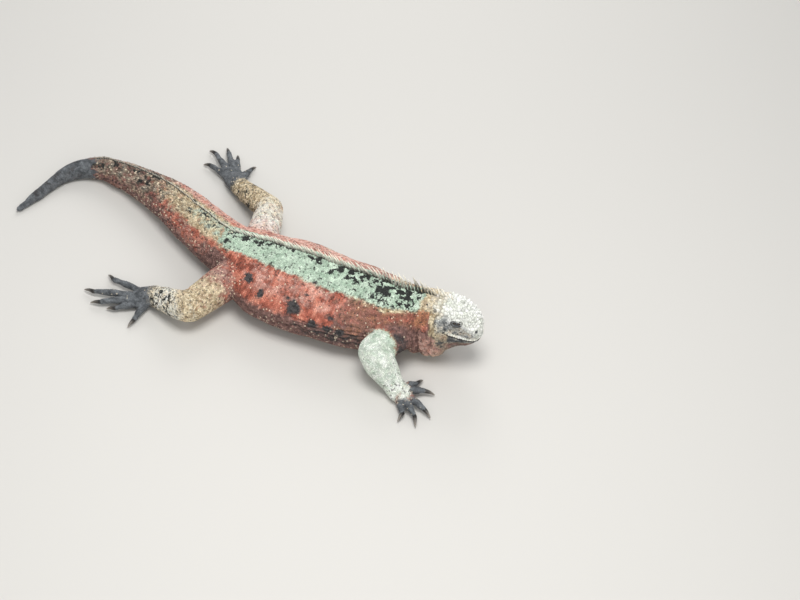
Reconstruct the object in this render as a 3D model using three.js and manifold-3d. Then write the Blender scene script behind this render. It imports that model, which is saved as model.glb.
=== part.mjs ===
// A marine iguana at rest, life size, as a still museum model.
//
// Millimetres. +X runs along the trunk towards the head, +Y to the animal's own left and
// +Z up. The origin is the middle of the flat on which the belly rests.
//
// Head, neck, trunk and tail are one surface of changing sections along the spine, parted by
// thin flat cuts. The crest along the back and the cones of the head are rooted in the length
// that they grow from. Each leg is an upper length, a lower length and a foot of five digits,
// and each digit ends in a claw of its own.
import * as THREE from "three";
import { mergeVertices } from "three/addons/utils/BufferGeometryUtils.js";
import Module from "manifold-3d";

const wasm = await Module();
wasm.setup();

// Driving dimensions
const GAP = 0.3; // between faces that touch
const FLOOR = 0;
const BODY_SIDES = 26; // facets round the body
const LIMB_SIDES = 14;
const DIGIT_SIDES = 7;
const RINGS_PER_STATION = 2.4;

// The spine from the snout to the tip of the tail. A station has the axis point, the half
// width, the height above the axis, the depth below it, how square the top and the bottom are
// (2 is an oval, less is a ridge, more is a box), how far the ridge leans to the left, and the
// height of the crest there.
const SPINE = {
  snout: { at: [250, 9.5, 49], wide: 13.5, up: 15, down: 11.5, top: 2.3, low: 2.4 },
  nostrils: { at: [241, 9.5, 51.5], wide: 18, up: 25, down: 17, top: 2.2, low: 2.4 },
  eyes: { at: [224, 9, 56], wide: 24, up: 37, down: 30, top: 2.3, low: 2.2 },
  crown: { at: [207, 7, 57], wide: 28, up: 39, down: 44, top: 2.2, low: 2.1, lean: 2, crest: 11 },
  jowl: { at: [191, 4, 55], wide: 34, up: 39, down: 51, top: 2, low: 2.4, lean: 4, crest: 16 },
  nape: { at: [172, 1, 52], wide: 36, up: 40, down: 49, top: 1.8, low: 2.4, lean: 5, crest: 21 },
  collar: { at: [152, -2, 50], wide: 40, up: 43, down: 46, top: 1.7, low: 2.3, lean: 3, crest: 22 },
  shoulders: { at: [126, -7, 47], wide: 53, up: 48, down: 45, top: 1.5, low: 2.4, lean: 5, crest: 17 },
  chest: { at: [92, -10, 45.5], wide: 62, up: 47.5, down: 45.5, top: 1.45, low: 2.5, lean: 8, crest: 13 },
  ribs: { at: [52, -12, 44.5], wide: 66, up: 45.5, down: 45.5, top: 1.4, low: 2.5, lean: 11, crest: 11 },
  belly: { at: [8, -12, 43.5], wide: 70, up: 43.5, down: 45.5, top: 1.4, low: 2.6, lean: 13, crest: 10 },
  loin: { at: [-32, -10, 41], wide: 69, up: 41, down: 42, top: 1.4, low: 2.5, lean: 11, crest: 9 },
  hips: { at: [-70, -1, 37], wide: 51, up: 38, down: 37.5, top: 1.7, low: 2.3, lean: 4, crest: 7 },
  vent: { at: [-104, 5, 34], wide: 38, up: 36, down: 34.5, top: 1.9, low: 2.2, crest: 5.5 },
  tailRoot: { at: [-140, 18.5, 32], wide: 35, up: 34, down: 32.5, top: 1.9, low: 2.2, crest: 4.5 },
  tailThick: { at: [-178, 35.5, 30], wide: 34, up: 31.5, down: 30.5, top: 1.8, low: 2.1, crest: 4.5 },
  tailFlat: { at: [-222, 55, 27], wide: 30.5, up: 29, down: 27.5, top: 1.7, low: 2, crest: 4.5 },
  tailThin: { at: [-265, 67, 23.5], wide: 24.5, up: 26, down: 24, top: 1.7, low: 2, crest: 4.5 },
  tailLast: { at: [-310, 75, 19.5], wide: 18.5, up: 22, down: 20, top: 1.7, low: 2, crest: 4.5 },
  tailStump: { at: [-352, 75, 15], wide: 14.5, up: 19, down: 15.5, top: 1.9, low: 2, crest: 4 },
  regrown: { at: [-384, 54, 11], wide: 12, up: 13, down: 11.5 },
  regrownMiddle: { at: [-396, 22, 8], wide: 9, up: 8.5, down: 8.5 },
  regrownEnd: { at: [-402, -13, 6], wide: 7, up: 6, down: 6.5 },
  tailTip: { at: [-409, -43, 4], wide: 4.5, up: 4, down: 4.3 },
};

// Where the body is parted, as places on the spine
const NODES_ALONG = [
  ["head", "jowl", 0.1],
  ["neck", "collar", 0.0],
  ["chest", "ribs", 0.2],
  ["belly", "loin", 0.4],
  ["hips", "vent", 0.3],
  ["tail_root", "tailFlat", 0.2],
  ["tail_middle", "tailStump", 0.1],
  ["tail_regrown", null, 0],
];

// Legs. Joints are centre points with the half thickness there. A digit has its root in the
// palm or sole, its end where the claw starts, and the tip of the claw.
const LEGS = {
  foreleg_right: {
    root: [[163, -22, 42], 19],
    elbow: [[141, -76, 45], 19],
    bulge: 20,
    wrist: [[180, -88, 14.5], 13.5],
    palm: [[192, -93, 9.5], 15, 9],
    digits: [
      [[190, -80, 9], [200, -64, 6], [204, -52, 3]],
      [[197, -84, 9.5], [215, -71, 7], [228, -68, 3]],
      [[203, -92, 9.5], [229, -100, 7], [240, -106, 3]],
      [[201, -99, 9.5], [223, -116, 7], [230, -128, 3]],
      [[194, -102, 9], [207, -118, 6], [207, -131, 3]],
    ],
  },
  foreleg_left: {
    root: [[136, 18, 34], 18],
    elbow: [[102, 64, 16], 16.5],
    bulge: 15,
    wrist: [[148, 72, 12.5], 12],
    palm: [[160, 73, 9], 15, 8.5],
    digits: [
      [[161, 61, 8.5], [170, 49, 6], [176, 40, 3]],
      [[167, 66, 9], [186, 56, 7], [197, 51, 3]],
      [[171, 73, 9], [198, 73, 7], [210, 73, 3]],
      [[168, 80, 9], [195, 87, 7], [206, 91, 3]],
      [[161, 85, 8.5], [178, 96, 6], [186, 103, 3]],
    ],
  },
  hindleg_right: {
    root: [[-74, -20, 36], 24],
    elbow: [[-100, -112, 32], 20],
    bulge: 18.5,
    wrist: [[-157, -101, 15], 14],
    palm: [[-177, -108, 9.5], 16, 9],
    digits: [
      [[-163, -118, 8], [-163, -144, 5.5], [-164, -157, 3]],
      [[-173, -119, 8.5], [-194, -138, 6.5], [-205, -142, 3]],
      [[-181, -115, 9], [-216, -138, 7], [-229, -143, 3]],
      [[-186, -109, 9], [-234, -126, 7], [-249, -126, 3]],
      [[-182, -98, 8.5], [-224, -94, 6.5], [-237, -87, 3]],
    ],
  },
  hindleg_left: {
    root: [[-72, 14, 38], 24],
    elbow: [[-101, 101, 34], 18.5],
    bulge: 17,
    wrist: [[-168, 139, 15], 13.5],
    palm: [[-187, 156, 9.5], 16, 9],
    digits: [
      [[-179, 164, 8], [-180, 187, 5.5], [-177, 199, 3]],
      [[-189, 168, 8.5], [-205, 196, 6.5], [-212, 208, 3]],
      [[-196, 168, 9], [-223, 202, 7], [-233, 214, 3]],
      [[-200, 162, 9], [-238, 192, 7], [-251, 196, 3]],
      [[-196, 153, 8.5], [-231, 167, 6.5], [-243, 166, 3]],
    ],
  },
};
const DIGIT_THICK = [5.4, 4.6, 3.6]; // half thickness at root, middle and end of a digit
const CLAW_THICK = 2.9;

// The head's features sit at a place on the spine and a turn from the top in degrees, the same
// on both sides. Sizes are half lengths round the head, along it and out of it.
const EYE = { at: ["eyes", 0.24], turn: 57, radius: 6.2, sunk: 4.9 };
const LIDS = { size: [5.4, 8.2, 2.6], sunk: 0.6, opening: [3.1, 5.3, 8] };
const BROW = { at: ["eyes", 0.1], turn: 38, size: [4.6, 10, 3.4], sunk: 1.2 };
const EAR = { at: ["crown", 0.04], turn: 50, size: [4.8, 4.2, 1.5] };
const NOSTRIL = { at: ["snout", 0.8], turn: 42, size: [1.5, 2.1, 2] };
const MOUTH = {
  line: [[215, 63], [222, 59.8], [232, 56.6], [243, 53.8], [262, 50]], // x and z
  deep: 1.7,
  tall: 1.3,
};
const LIPS = { proud: 0.8, tall: 8 };

// The crest runs from the crown to the stump of the tail. Its spines lean back and their tips
// curl over, by parts of the height. The cones cover the crown, the brows and the snout.
const CREST = { from: ["crown", 0.15], to: ["tailStump", -0.1], step: 6.5, clear: 4 };
const CREST_SPINE = { sides: 4, broad: 0.1, thick: 0.06, least: 1.1, lean: 0.42, curl: 0.28, root: 3 };
const CONES = { from: ["snout", 0.75], to: ["jowl", -0.15], step: 9, across: 7, turn: 64 };
const CONE = { sides: 5, tall: 4.4, radius: 3.4, lean: 0.15, root: 1.7 };
const ROW_PITCH = 0.87; // of rows set in staggered order, to the step within a row
const SEED = 20;

// Small maths
const UP = new THREE.Vector3(0, 0, 1);
const vec = (p) => new THREE.Vector3(...p);
const mix = (a, b, f) => a.map((v, i) => v + (b[i] - v) * f);
const signedPower = (v, p) => Math.sign(v) * Math.abs(v) ** p;

/** The value of a smooth curve through a list of numbers, at t in list steps. */
function through(values, t) {
  const last = values.length - 1;
  const i = Math.min(Math.floor(t), last - 1);
  const f = t - i;
  const at = (k) => values[Math.max(0, Math.min(last, k))];
  const [a, b, c, d] = [at(i - 1), at(i), at(i + 1), at(i + 2)];
  const slopeIn = (c - a) / 2;
  const slopeOut = (d - b) / 2;
  const f2 = f * f;
  const f3 = f2 * f;
  return (
    (2 * f3 - 3 * f2 + 1) * b +
    (f3 - 2 * f2 + f) * slopeIn +
    (3 * f2 - 2 * f3) * c +
    (f3 - f2) * slopeOut
  );
}

/** A length of flesh whose section changes from station to station. */
class Length {
  /**
   * @param {object[]} stations in order, each with at, wide, up, down and maybe top, low, lean
   * @param {number} roundStart how far the first end takes to come to full size
   * @param {number} roundEnd the same at the last end
   */
  constructor(stations, roundStart, roundEnd) {
    this.last = stations.length - 1;
    const full = stations.map((s) => ({ top: 2, low: 2, lean: 0, crest: 0, ...s }));
    this.columns = {};
    for (const key of ["wide", "up", "down", "top", "low", "lean", "crest"]) {
      this.columns[key] = full.map((s) => s[key]);
    }
    ["x", "y", "z"].forEach((key, i) => (this.columns[key] = full.map((s) => s.at[i])));
    this.roundStart = roundStart;
    this.roundEnd = roundEnd;
    this.startPoint = vec(stations[0].at);
    this.endPoint = vec(stations[this.last].at);
  }

  value(key, t) {
    return through(this.columns[key], t);
  }

  axis(t) {
    return new THREE.Vector3(this.value("x", t), this.value("y", t), this.value("z", t));
  }

  /** Unit vectors towards the last station, to the side and up, at t. */
  frame(t) {
    const step = 0.02;
    const before = this.axis(Math.max(0, t - step));
    const along = this.axis(Math.min(this.last, t + step)).sub(before).normalize();
    const side = new THREE.Vector3().crossVectors(along, UP).normalize();
    const up = new THREE.Vector3().crossVectors(side, along).normalize();
    return { along, side, up };
  }

  /** How much of its full size the section has, near the two round ends. */
  swell(t) {
    const here = this.axis(t);
    const atStart = t < this.last / 2;
    const end = atStart ? this.startPoint : this.endPoint;
    const reach = atStart ? this.roundStart : this.roundEnd;
    const f = Math.min(1, here.distanceTo(end) / reach);
    return Math.sqrt(Math.max(0, 1 - (1 - f) ** 2));
  }

  /** The surface point at t and turn: turn 0 is the top and a quarter turn is the side. */
  point(t, turn, grow = 0) {
    const { side, up } = this.frame(t);
    const swell = this.swell(t);
    const c = Math.cos(turn);
    const s = Math.sin(turn);
    const n = c > 0 ? this.value("top", t) : this.value("low", t);
    const tall = (c > 0 ? this.value("up", t) : this.value("down", t)) + grow;
    const wide = this.value("wide", t) + grow;
    const lean = this.value("lean", t) * Math.max(0, c) ** 2;
    return this.axis(t)
      .addScaledVector(side, (wide * signedPower(s, 2 / n) + lean) * swell)
      .addScaledVector(up, tall * signedPower(c, 2 / n) * swell);
  }

  /** The surface point with unit vectors round the section, along the length and out. */
  seat(t, turn) {
    const step = 0.03;
    const at = this.point(t, turn);
    const along = this.point(t + step, turn).sub(this.point(t - step, turn)).normalize();
    const around = this.point(t, turn + step).sub(this.point(t, turn - step)).normalize();
    const out = new THREE.Vector3().crossVectors(along, around).normalize();
    if (out.dot(at.clone().sub(this.axis(t))) < 0) out.negate();
    around.crossVectors(along, out).normalize();
    return { at, around, along, out };
  }

  /** The closed surface: a sphere's net drawn out along the length. */
  geometry(sides, rings, grow = 0) {
    const net = new THREE.SphereGeometry(1, sides, rings);
    const { position, uv } = net.attributes;
    const crowding = 0.5; // of the rings, towards the two ends
    for (let i = 0; i < position.count; i++) {
      const v = 1 - uv.getY(i);
      const eased = v - (crowding / this.last) * Math.sin(2 * Math.PI * v);
      const p = this.point(eased * this.last, 2 * Math.PI * uv.getX(i), grow);
      position.setXYZ(i, p.x, p.y, p.z);
    }
    return net;
  }
}

/** A closed three.js geometry as a solid that can be joined and cut. */
function solid(geometry) {
  const bare = geometry.clone();
  for (const name of Object.keys(bare.attributes)) {
    if (name !== "position") bare.deleteAttribute(name);
  }
  const merged = mergeVertices(bare, 1e-4);
  const corners = merged.index.array;
  const triangles = [];
  for (let i = 0; i < corners.length; i += 3) {
    const [a, b, c] = corners.slice(i, i + 3);
    if (a !== b && b !== c && c !== a) triangles.push(a, b, c);
  }
  const make = (order) =>
    new wasm.Manifold(
      new wasm.Mesh({
        numProp: 3,
        vertProperties: new Float32Array(merged.attributes.position.array),
        triVerts: new Uint32Array(order),
      }),
    );
  const made = make(triangles);
  return made.volume() > 0 ? made : make(triangles.reverse());
}

const joined = (solids) => wasm.Manifold.union(solids);

/** The largest closed body of a solid. */
function largest(made) {
  const bodies = made.decompose();
  return bodies.reduce((best, one) => (one.volume() > best.volume() ? one : best));
}

/** The part of a solid on the side of a plane that its normal points to, half a gap clear. */
function beyond(made, point, normal) {
  const n = normal.clone().normalize();
  return made.trimByPlane(n.toArray(), n.dot(point) + GAP / 2);
}

const aboveFloor = (made) => made.trimByPlane([0, 0, 1], FLOOR);

// The group and its nodes
const iguana = new THREE.Group();

function addNode(name, made, material) {
  const whole = largest(made).getMesh();
  const geometry = new THREE.BufferGeometry();
  const points = new Float32Array(whole.vertProperties);
  geometry.setAttribute("position", new THREE.BufferAttribute(points, 3));
  geometry.setIndex(new THREE.BufferAttribute(new Uint32Array(whole.triVerts), 1));
  geometry.computeVertexNormals();
  const mesh = new THREE.Mesh(geometry, material);
  mesh.name = name;
  iguana.add(mesh);
}

const skinOf = (color) => new THREE.MeshStandardMaterial({ color, roughness: 0.8, metalness: 0 });
const SKIN = {
  head: skinOf(0xd9d6c4),
  back: skinOf(0xa8603f),
  tail_root: skinOf(0x8f6650),
  tail_middle: skinOf(0x75584c),
  tail_regrown: skinOf(0x55524f),
  arm: skinOf(0xd5d9c2),
  thigh: skinOf(0xbb9168),
  foot: skinOf(0x4b4d52),
};
const HORN = new THREE.MeshStandardMaterial({ color: 0x3a3633, roughness: 0.45, metalness: 0 });
const EYE_BALL = new THREE.MeshStandardMaterial({ color: 0x241d1a, roughness: 0.1, metalness: 0 });

/** Repeatable random numbers between -1 and 1. */
function randomFrom(seed) {
  let state = seed;
  return () => {
    state = (state * 16807) % 2147483647;
    return (state / 2147483647) * 2 - 1;
  };
}

// Body
const names = Object.keys(SPINE);
const spine = new Length(Object.values(SPINE), 11, 7);
const place = (name, further = 0) => names.indexOf(name) + further;
const bodyRings = Math.round(RINGS_PER_STATION * spine.last);
const bodySolid = (grow) => solid(spine.geometry(BODY_SIDES, bodyRings, grow));
const body = aboveFloor(bodySolid(0));
const bodyWithGap = bodySolid(GAP);
const radians = (degrees) => (degrees * Math.PI) / 180;

/** An oval lump or hollow seated on the body, with its middle a little under the skin. */
function oval({ at, turn, size, sunk = 0 }, sign) {
  const seat = spine.seat(place(...at), sign * radians(turn));
  const shape = new THREE.SphereGeometry(1, 10, 8);
  const basis = new THREE.Matrix4().makeBasis(seat.around, seat.along, seat.out);
  basis.scale(vec(size)).setPosition(seat.at.addScaledVector(seat.out, -sunk));
  return solid(shape.applyMatrix4(basis));
}

/** A slab through the head from side to side, along the line of the mouth. */
function mouthSlab(tall) {
  const curve = new THREE.SplineCurve(MOUTH.line.map(([x, z]) => new THREE.Vector2(x, z)));
  const line = curve.getPoints(MOUTH.line.length + 1);
  const upper = line.map((p) => new THREE.Vector2(p.x, p.y + tall / 2));
  const lower = line.map((p) => new THREE.Vector2(p.x, p.y - tall / 2)).reverse();
  const across = 100;
  const slab = new THREE.ExtrudeGeometry(new THREE.Shape([...upper, ...lower]), {
    depth: across,
    bevelEnabled: false,
    steps: 1,
  });
  return solid(slab.rotateX(Math.PI / 2).translate(0, across / 2, 0));
}

// Head features: lips and their line, brows, lids, the balls of the eyes, nostrils, ear cups
const lips = mouthSlab(LIPS.tall).intersect(bodySolid(LIPS.proud));
const mouthLine = mouthSlab(MOUTH.tall).subtract(bodySolid(-MOUTH.deep));
let shaped = joined([body, lips]).subtract(mouthLine);
for (const [side, sign] of [["right", -1], ["left", 1]]) {
  const eyeSeat = spine.seat(place(...EYE.at), sign * radians(EYE.turn));
  const middle = eyeSeat.at.clone().addScaledVector(eyeSeat.out, -EYE.sunk);
  const ball = (radius) => solid(new THREE.SphereGeometry(radius, 12, 9).translate(...middle));
  const lids = oval({ ...EYE, size: LIDS.size, sunk: LIDS.sunk }, sign);
  const opening = oval({ ...EYE, size: LIDS.opening, sunk: -2 }, sign);
  shaped = joined([shaped, lids, oval(BROW, sign)]);
  for (const cut of [ball(EYE.radius + GAP), opening, oval(EAR, sign), oval(NOSTRIL, sign)]) {
    shaped = shaped.subtract(cut);
  }
  addNode(`eye_${side}`, ball(EYE.radius), EYE_BALL);
}

/**
 * A pointed shape seated on the body: its sides, height, half lengths along and round the body,
 * the depth of its root, and how far it leans back, sways to the side and curls over at the tip.
 */
function spike(seat, { sides, tall, long, wide, root, lean = 0, sway = 0, curl = 0 }) {
  const cone = new THREE.ConeGeometry(1, 1, sides, curl ? 2 : 1);
  const { position } = cone.attributes;
  for (let i = 0; i < position.count; i++) {
    const height = position.getY(i) + 0.5;
    const rise = height * (tall + root) - root;
    const back = lean * rise + curl * tall * height * height;
    const p = seat.at
      .clone()
      .addScaledVector(seat.out, rise)
      .addScaledVector(seat.along, back + position.getX(i) * long)
      .addScaledVector(seat.around, sway * rise + position.getZ(i) * wide);
    position.setXYZ(i, p.x, p.y, p.z);
  }
  return solid(cone);
}

/** Places evenly spaced along the ridge between two on the spine, clear of both ends. */
function alongRidge(from, to, step, clear) {
  const samples = 400;
  const ridge = [];
  let length = 0;
  for (let i = 0; i <= samples; i++) {
    const t = from + ((to - from) * i) / samples;
    const p = spine.point(t, 0);
    if (i > 0) length += p.distanceTo(ridge[i - 1].p);
    ridge.push({ t, p, length });
  }
  const open = length - 2 * clear;
  const count = Math.max(1, Math.round(open / step));
  return Array.from({ length: count + 1 }, (_, k) => {
    const wanted = clear + (open * k) / count;
    return ridge.find((r) => r.length >= wanted).t;
  });
}

const random = randomFrom(SEED);
const crestStart = place(...CREST.from);
const crestEnd = place(...CREST.to);

/** The crest spines between two places. */
function crest(from, to) {
  const first = Math.max(from, crestStart);
  const last = Math.min(to, crestEnd);
  if (last <= first) return [];
  return alongRidge(first, last, CREST.step, CREST.clear).map((t) => {
    const tall = spine.value("crest", t) * (1 + 0.14 * random());
    return spike(spine.seat(t, 0), {
      ...CREST_SPINE,
      tall,
      long: CREST_SPINE.least + tall * CREST_SPINE.broad,
      wide: CREST_SPINE.least + tall * CREST_SPINE.thick,
      lean: CREST_SPINE.lean + 0.1 * random(),
      sway: 0.1 * random(),
    });
  });
}

/** The turn at which the skin is a distance from the ridge, round the section at t. */
function turnAt(t, distance) {
  const step = 0.03;
  let turn = 0;
  for (let walked = 0; walked < distance && turn < Math.PI; turn += step) {
    walked += spine.point(t, turn).distanceTo(spine.point(t, turn + step));
  }
  return turn;
}

/** Whether a point lies on the lids or the ear cup of its side. */
function isOnFeature(p, sign) {
  const near = ({ at, turn, size: [across, long] }) =>
    spine.point(place(...at), sign * radians(turn)).distanceTo(p) < (across + long) / 2 + 2;
  return near({ ...EYE, size: LIDS.size }) || near(EAR);
}

/** The cones on the head, in staggered rows across it, the same on both sides. */
function headCones() {
  const rows = alongRidge(place(...CONES.from), place(...CONES.to), CONES.step * ROW_PITCH, 0);
  const cones = [];
  rows.forEach((t, row) => {
    for (let k = 0; k < CONES.across; k++) {
      const turn = turnAt(t, (k + (row % 2) / 2) * CONES.step);
      const onCrest = turn === 0 && t > crestStart;
      for (const sign of turn === 0 ? [1] : [-1, 1]) {
        if (turn > radians(CONES.turn) || onCrest) continue;
        if (isOnFeature(spine.point(t, sign * turn), sign)) continue;
        const size = 1 + 0.18 * random();
        const across = CONE.radius * size;
        const seat = spine.seat(t, sign * turn);
        cones.push(spike(seat, { ...CONE, tall: CONE.tall * size, long: across, wide: across }));
      }
    }
  });
  return cones;
}

// The body's nodes, each cut from the rest and given what grows on it
let rest = shaped;
let from = 0;
for (const [name, endsAt, further] of NODES_ALONG) {
  const to = endsAt ? place(endsAt, further) : spine.last;
  let piece = rest;
  if (endsAt) {
    const cut = spine.axis(to);
    const { along } = spine.frame(to);
    piece = beyond(rest, cut, along.clone().negate());
    rest = largest(beyond(rest, cut, along));
  }
  const growing = name === "head" ? headCones() : [];
  addNode(name, joined([largest(piece), ...crest(from, to), ...growing]), SKIN[name] ?? SKIN.back);
  from = to;
}

// Legs
/** A limb length through centre points, each with its half width and half height. */
function limbLength(stations) {
  const list = stations.map(([at, wide, tall]) => ({ at, wide, up: tall ?? wide, down: tall ?? wide }));
  return new Length(list, list[0].wide, list[list.length - 1].wide);
}

const limbSolid = (length, sides, rings) => solid(length.geometry(sides, rings));

/** The direction from one point of a list to another. */
const towards = (a, b) => vec(b).sub(vec(a)).normalize();

for (const [name, leg] of Object.entries(LEGS)) {
  const [rootAt, rootThick] = leg.root;
  const [bendAt, bendThick] = leg.elbow;
  const [endAt, endThick] = leg.wrist;
  const [palmAt, palmWide, palmTall] = leg.palm;
  const upperWay = towards(rootAt, bendAt);
  const lowerWay = towards(bendAt, endAt);
  const footWay = towards(endAt, palmAt);
  const overshoot = (at, way, by) => vec(at).addScaledVector(way, by).toArray();

  const upper = limbLength([
    [rootAt, rootThick],
    [mix(rootAt, bendAt, 0.5), (rootThick + bendThick) / 2 + 1],
    [bendAt, bendThick],
    [overshoot(bendAt, upperWay, bendThick), bendThick * 0.9],
  ]);
  const lower = limbLength([
    [overshoot(bendAt, lowerWay, -bendThick), bendThick * 0.9],
    [bendAt, bendThick],
    [mix(bendAt, endAt, 0.4), leg.bulge],
    [endAt, endThick],
    [overshoot(endAt, lowerWay, endThick), endThick],
  ]);
  const bendPlane = upperWay.clone().add(lowerWay);
  const anklePlane = lowerWay.clone().add(footWay);
  const upperSolid = beyond(limbSolid(upper, LIMB_SIDES, 10), vec(bendAt), bendPlane.clone().negate());
  const lowerFull = beyond(limbSolid(lower, LIMB_SIDES, 12), vec(bendAt), bendPlane);
  const lowerSolid = beyond(lowerFull, vec(endAt), anklePlane.clone().negate());
  addNode(`${name}_upper`, aboveFloor(upperSolid.subtract(bodyWithGap)), SKIN.thigh);
  addNode(`${name}_lower`, aboveFloor(lowerSolid.subtract(bodyWithGap)), SKIN.arm);

  const palm = limbLength([
    [overshoot(endAt, footWay, -endThick), endThick, endThick],
    [endAt, endThick, endThick],
    [mix(endAt, palmAt, 0.6), (endThick + palmWide) / 2, (endThick + palmTall) / 2],
    [palmAt, palmWide, palmTall],
    [overshoot(palmAt, footWay, palmWide * 0.6), palmWide * 0.8, palmTall * 0.8],
  ]);
  const footPieces = [limbSolid(palm, LIMB_SIDES, 10)];
  leg.digits.forEach(([from, end, tip], i) => {
    const way = towards(from, end);
    const middle = mix(from, end, 0.5);
    const knuckle = [middle[0], middle[1], middle[2] + 1.5];
    const digit = limbLength([
      [mix(palmAt, from, 0.3), DIGIT_THICK[0]],
      [from, DIGIT_THICK[0]],
      [knuckle, DIGIT_THICK[1]],
      [end, DIGIT_THICK[2]],
      [overshoot(end, way, DIGIT_THICK[2]), DIGIT_THICK[2]],
    ]);
    const digitSolid = limbSolid(digit, DIGIT_SIDES, 7);
    footPieces.push(beyond(digitSolid, vec(end), way.clone().negate()));
    const arch = mix(end, tip, 0.5);
    const claw = limbLength([
      [overshoot(end, way, -3), CLAW_THICK],
      [end, CLAW_THICK],
      [[arch[0], arch[1], arch[2] + 1.2], CLAW_THICK * 0.8],
      [tip, 1.1],
    ]);
    const clawSolid = beyond(limbSolid(claw, 6, 5), vec(end), way);
    addNode(`${name}_claw_${i + 1}`, clawSolid.trimByPlane([0, 0, 1], FLOOR + GAP), HORN);
  });
  const foot = beyond(joined(footPieces), vec(endAt), anklePlane);
  addNode(`${name}_foot`, aboveFloor(foot), SKIN.foot);
}

export default iguana;
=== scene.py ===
"""A marine iguana at rest, life size: its skin, scales, crest, eyes and claws, in a plain studio.

The model lies in the shared frame: +X along the trunk towards the head, +Y to the animal's own
left and +Z up. Sizes here are in millimetres and become metres when a mesh is made. One skin
covers head, body and legs, and the scales stand on it in rows. Skin and scales carry the same
markings, which are worked out once on the skin and passed to every scale at its root.
"""

import logging
from collections.abc import Callable, Iterator
from dataclasses import dataclass, field, replace
from enum import Enum
from functools import lru_cache

import bmesh
import bpy
import numpy as np
from mathutils import Matrix, Vector
from mathutils.bvhtree import BVHTree
from mathutils.kdtree import KDTree


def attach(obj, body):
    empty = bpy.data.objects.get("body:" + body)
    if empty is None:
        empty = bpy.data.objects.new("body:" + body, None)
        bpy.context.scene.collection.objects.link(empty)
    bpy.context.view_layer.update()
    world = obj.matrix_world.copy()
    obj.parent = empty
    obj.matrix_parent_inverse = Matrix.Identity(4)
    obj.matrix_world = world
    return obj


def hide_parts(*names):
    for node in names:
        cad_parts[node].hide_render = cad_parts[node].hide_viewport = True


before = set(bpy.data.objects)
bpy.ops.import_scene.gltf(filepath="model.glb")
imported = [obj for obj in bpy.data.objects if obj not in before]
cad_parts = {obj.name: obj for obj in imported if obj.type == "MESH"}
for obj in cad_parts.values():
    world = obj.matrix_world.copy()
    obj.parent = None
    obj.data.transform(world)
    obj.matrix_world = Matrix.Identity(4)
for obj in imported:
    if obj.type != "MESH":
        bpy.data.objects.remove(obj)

LOG = logging.getLogger("iguana")
MM = 0.001
ROOT = "root"
SEED = 20

Array = np.ndarray
Triple = tuple[float, float, float]
Chart = tuple[float, float, float, float]  # left, right, bottom and top of a part of the unwrap
BMesh = bmesh.types.BMesh
Mesh = bpy.types.Mesh
Socket = bpy.types.NodeSocket
SIDES = (-1, 1)  # right and left


# Sizes of the animal


@dataclass(frozen=True)
class Station:
    """One section of a length of flesh: the axis point and the reach on each side of it.

    top and low say how square the section is above and below: 2 is an oval, less a ridge.
    crest is the height of the spines there, and saddle the turn in degrees that the green
    of the back reaches down to.
    """

    at: Triple
    wide: float
    up: float
    down: float
    top: float = 2.0
    low: float = 2.0
    lean: float = 0.0
    crest: float = 0.0
    saddle: float = 36.0


BODY: dict[str, Station] = {
    "snout": Station((250, 9.5, 49), 13.5, 15, 11.5, 2.3, 2.4),
    "nostrils": Station((241, 9.5, 51.5), 18, 25, 17, 2.2, 2.4),
    "eyes": Station((224, 9, 56), 24, 37, 30, 2.3, 2.2),
    "crown": Station((207, 7, 57), 28, 39, 44, 2.2, 2.1, 2, 11, 30),
    "jowl": Station((191, 4, 55), 34, 39, 51, 2, 2.4, 4, 16, 36),
    "nape": Station((172, 1, 52), 36, 40, 49, 1.8, 2.4, 5, 21, 41),
    "collar": Station((152, -2, 50), 40, 43, 46, 1.7, 2.3, 3, 22, 41),
    "shoulders": Station((126, -7, 47), 53, 48, 45, 1.5, 2.4, 5, 17, 39),
    "chest": Station((92, -10, 45.5), 62, 47.5, 45.5, 1.45, 2.5, 8, 13, 35),
    "ribs": Station((52, -12, 44.5), 66, 45.5, 45.5, 1.4, 2.5, 11, 11, 36),
    "belly": Station((8, -12, 43.5), 70, 43.5, 45.5, 1.4, 2.6, 13, 10, 33),
    "loin": Station((-32, -10, 41), 69, 41, 42, 1.4, 2.5, 11, 9, 32),
    "hips": Station((-70, -1, 37), 51, 38, 37.5, 1.7, 2.3, 4, 7, 34),
    "vent": Station((-104, 5, 34), 38, 36, 34.5, 1.9, 2.2, 0, 5.5, 41),
    "tail_root": Station((-140, 18.5, 32), 35, 34, 32.5, 1.9, 2.2, 0, 4.5, 45),
    "tail_thick": Station((-178, 35.5, 30), 34, 31.5, 30.5, 1.8, 2.1, 0, 4.5, 44),
    "tail_flat": Station((-222, 55, 27), 30.5, 29, 27.5, 1.7, 2, 0, 4.5, 44),
    "tail_thin": Station((-265, 67, 23.5), 24.5, 26, 24, 1.7, 2, 0, 4.5, 40),
    "tail_last": Station((-310, 75, 19.5), 18.5, 22, 20, 1.7, 2, 0, 4.5, 30),
    "tail_stump": Station((-352, 75, 15), 14.5, 19, 15.5, 1.9, 2, 0, 4, 20),
    "regrown": Station((-384, 54, 11), 12, 13, 11.5),
    "regrown_middle": Station((-396, 22, 8), 9, 8.5, 8.5),
    "regrown_end": Station((-402, -13, 6), 7, 6, 6.5),
    "tail_tip": Station((-409, -43, 4), 4.5, 4, 4.3),
}
BODY_NAMES = list(BODY)
BODY_NODES = ("head", "neck", "chest", "belly", "hips", "tail_root", "tail_middle", "tail_regrown")


def place(name: str, further: float = 0.0) -> float:
    """The place on the spine of a named station, or a part of a station further back."""
    return BODY_NAMES.index(name) + further


@dataclass(frozen=True)
class Joint:
    """A centre point with the half thickness there, and the half height where it differs."""

    at: Triple
    thick: float
    tall: float | None = None


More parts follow.
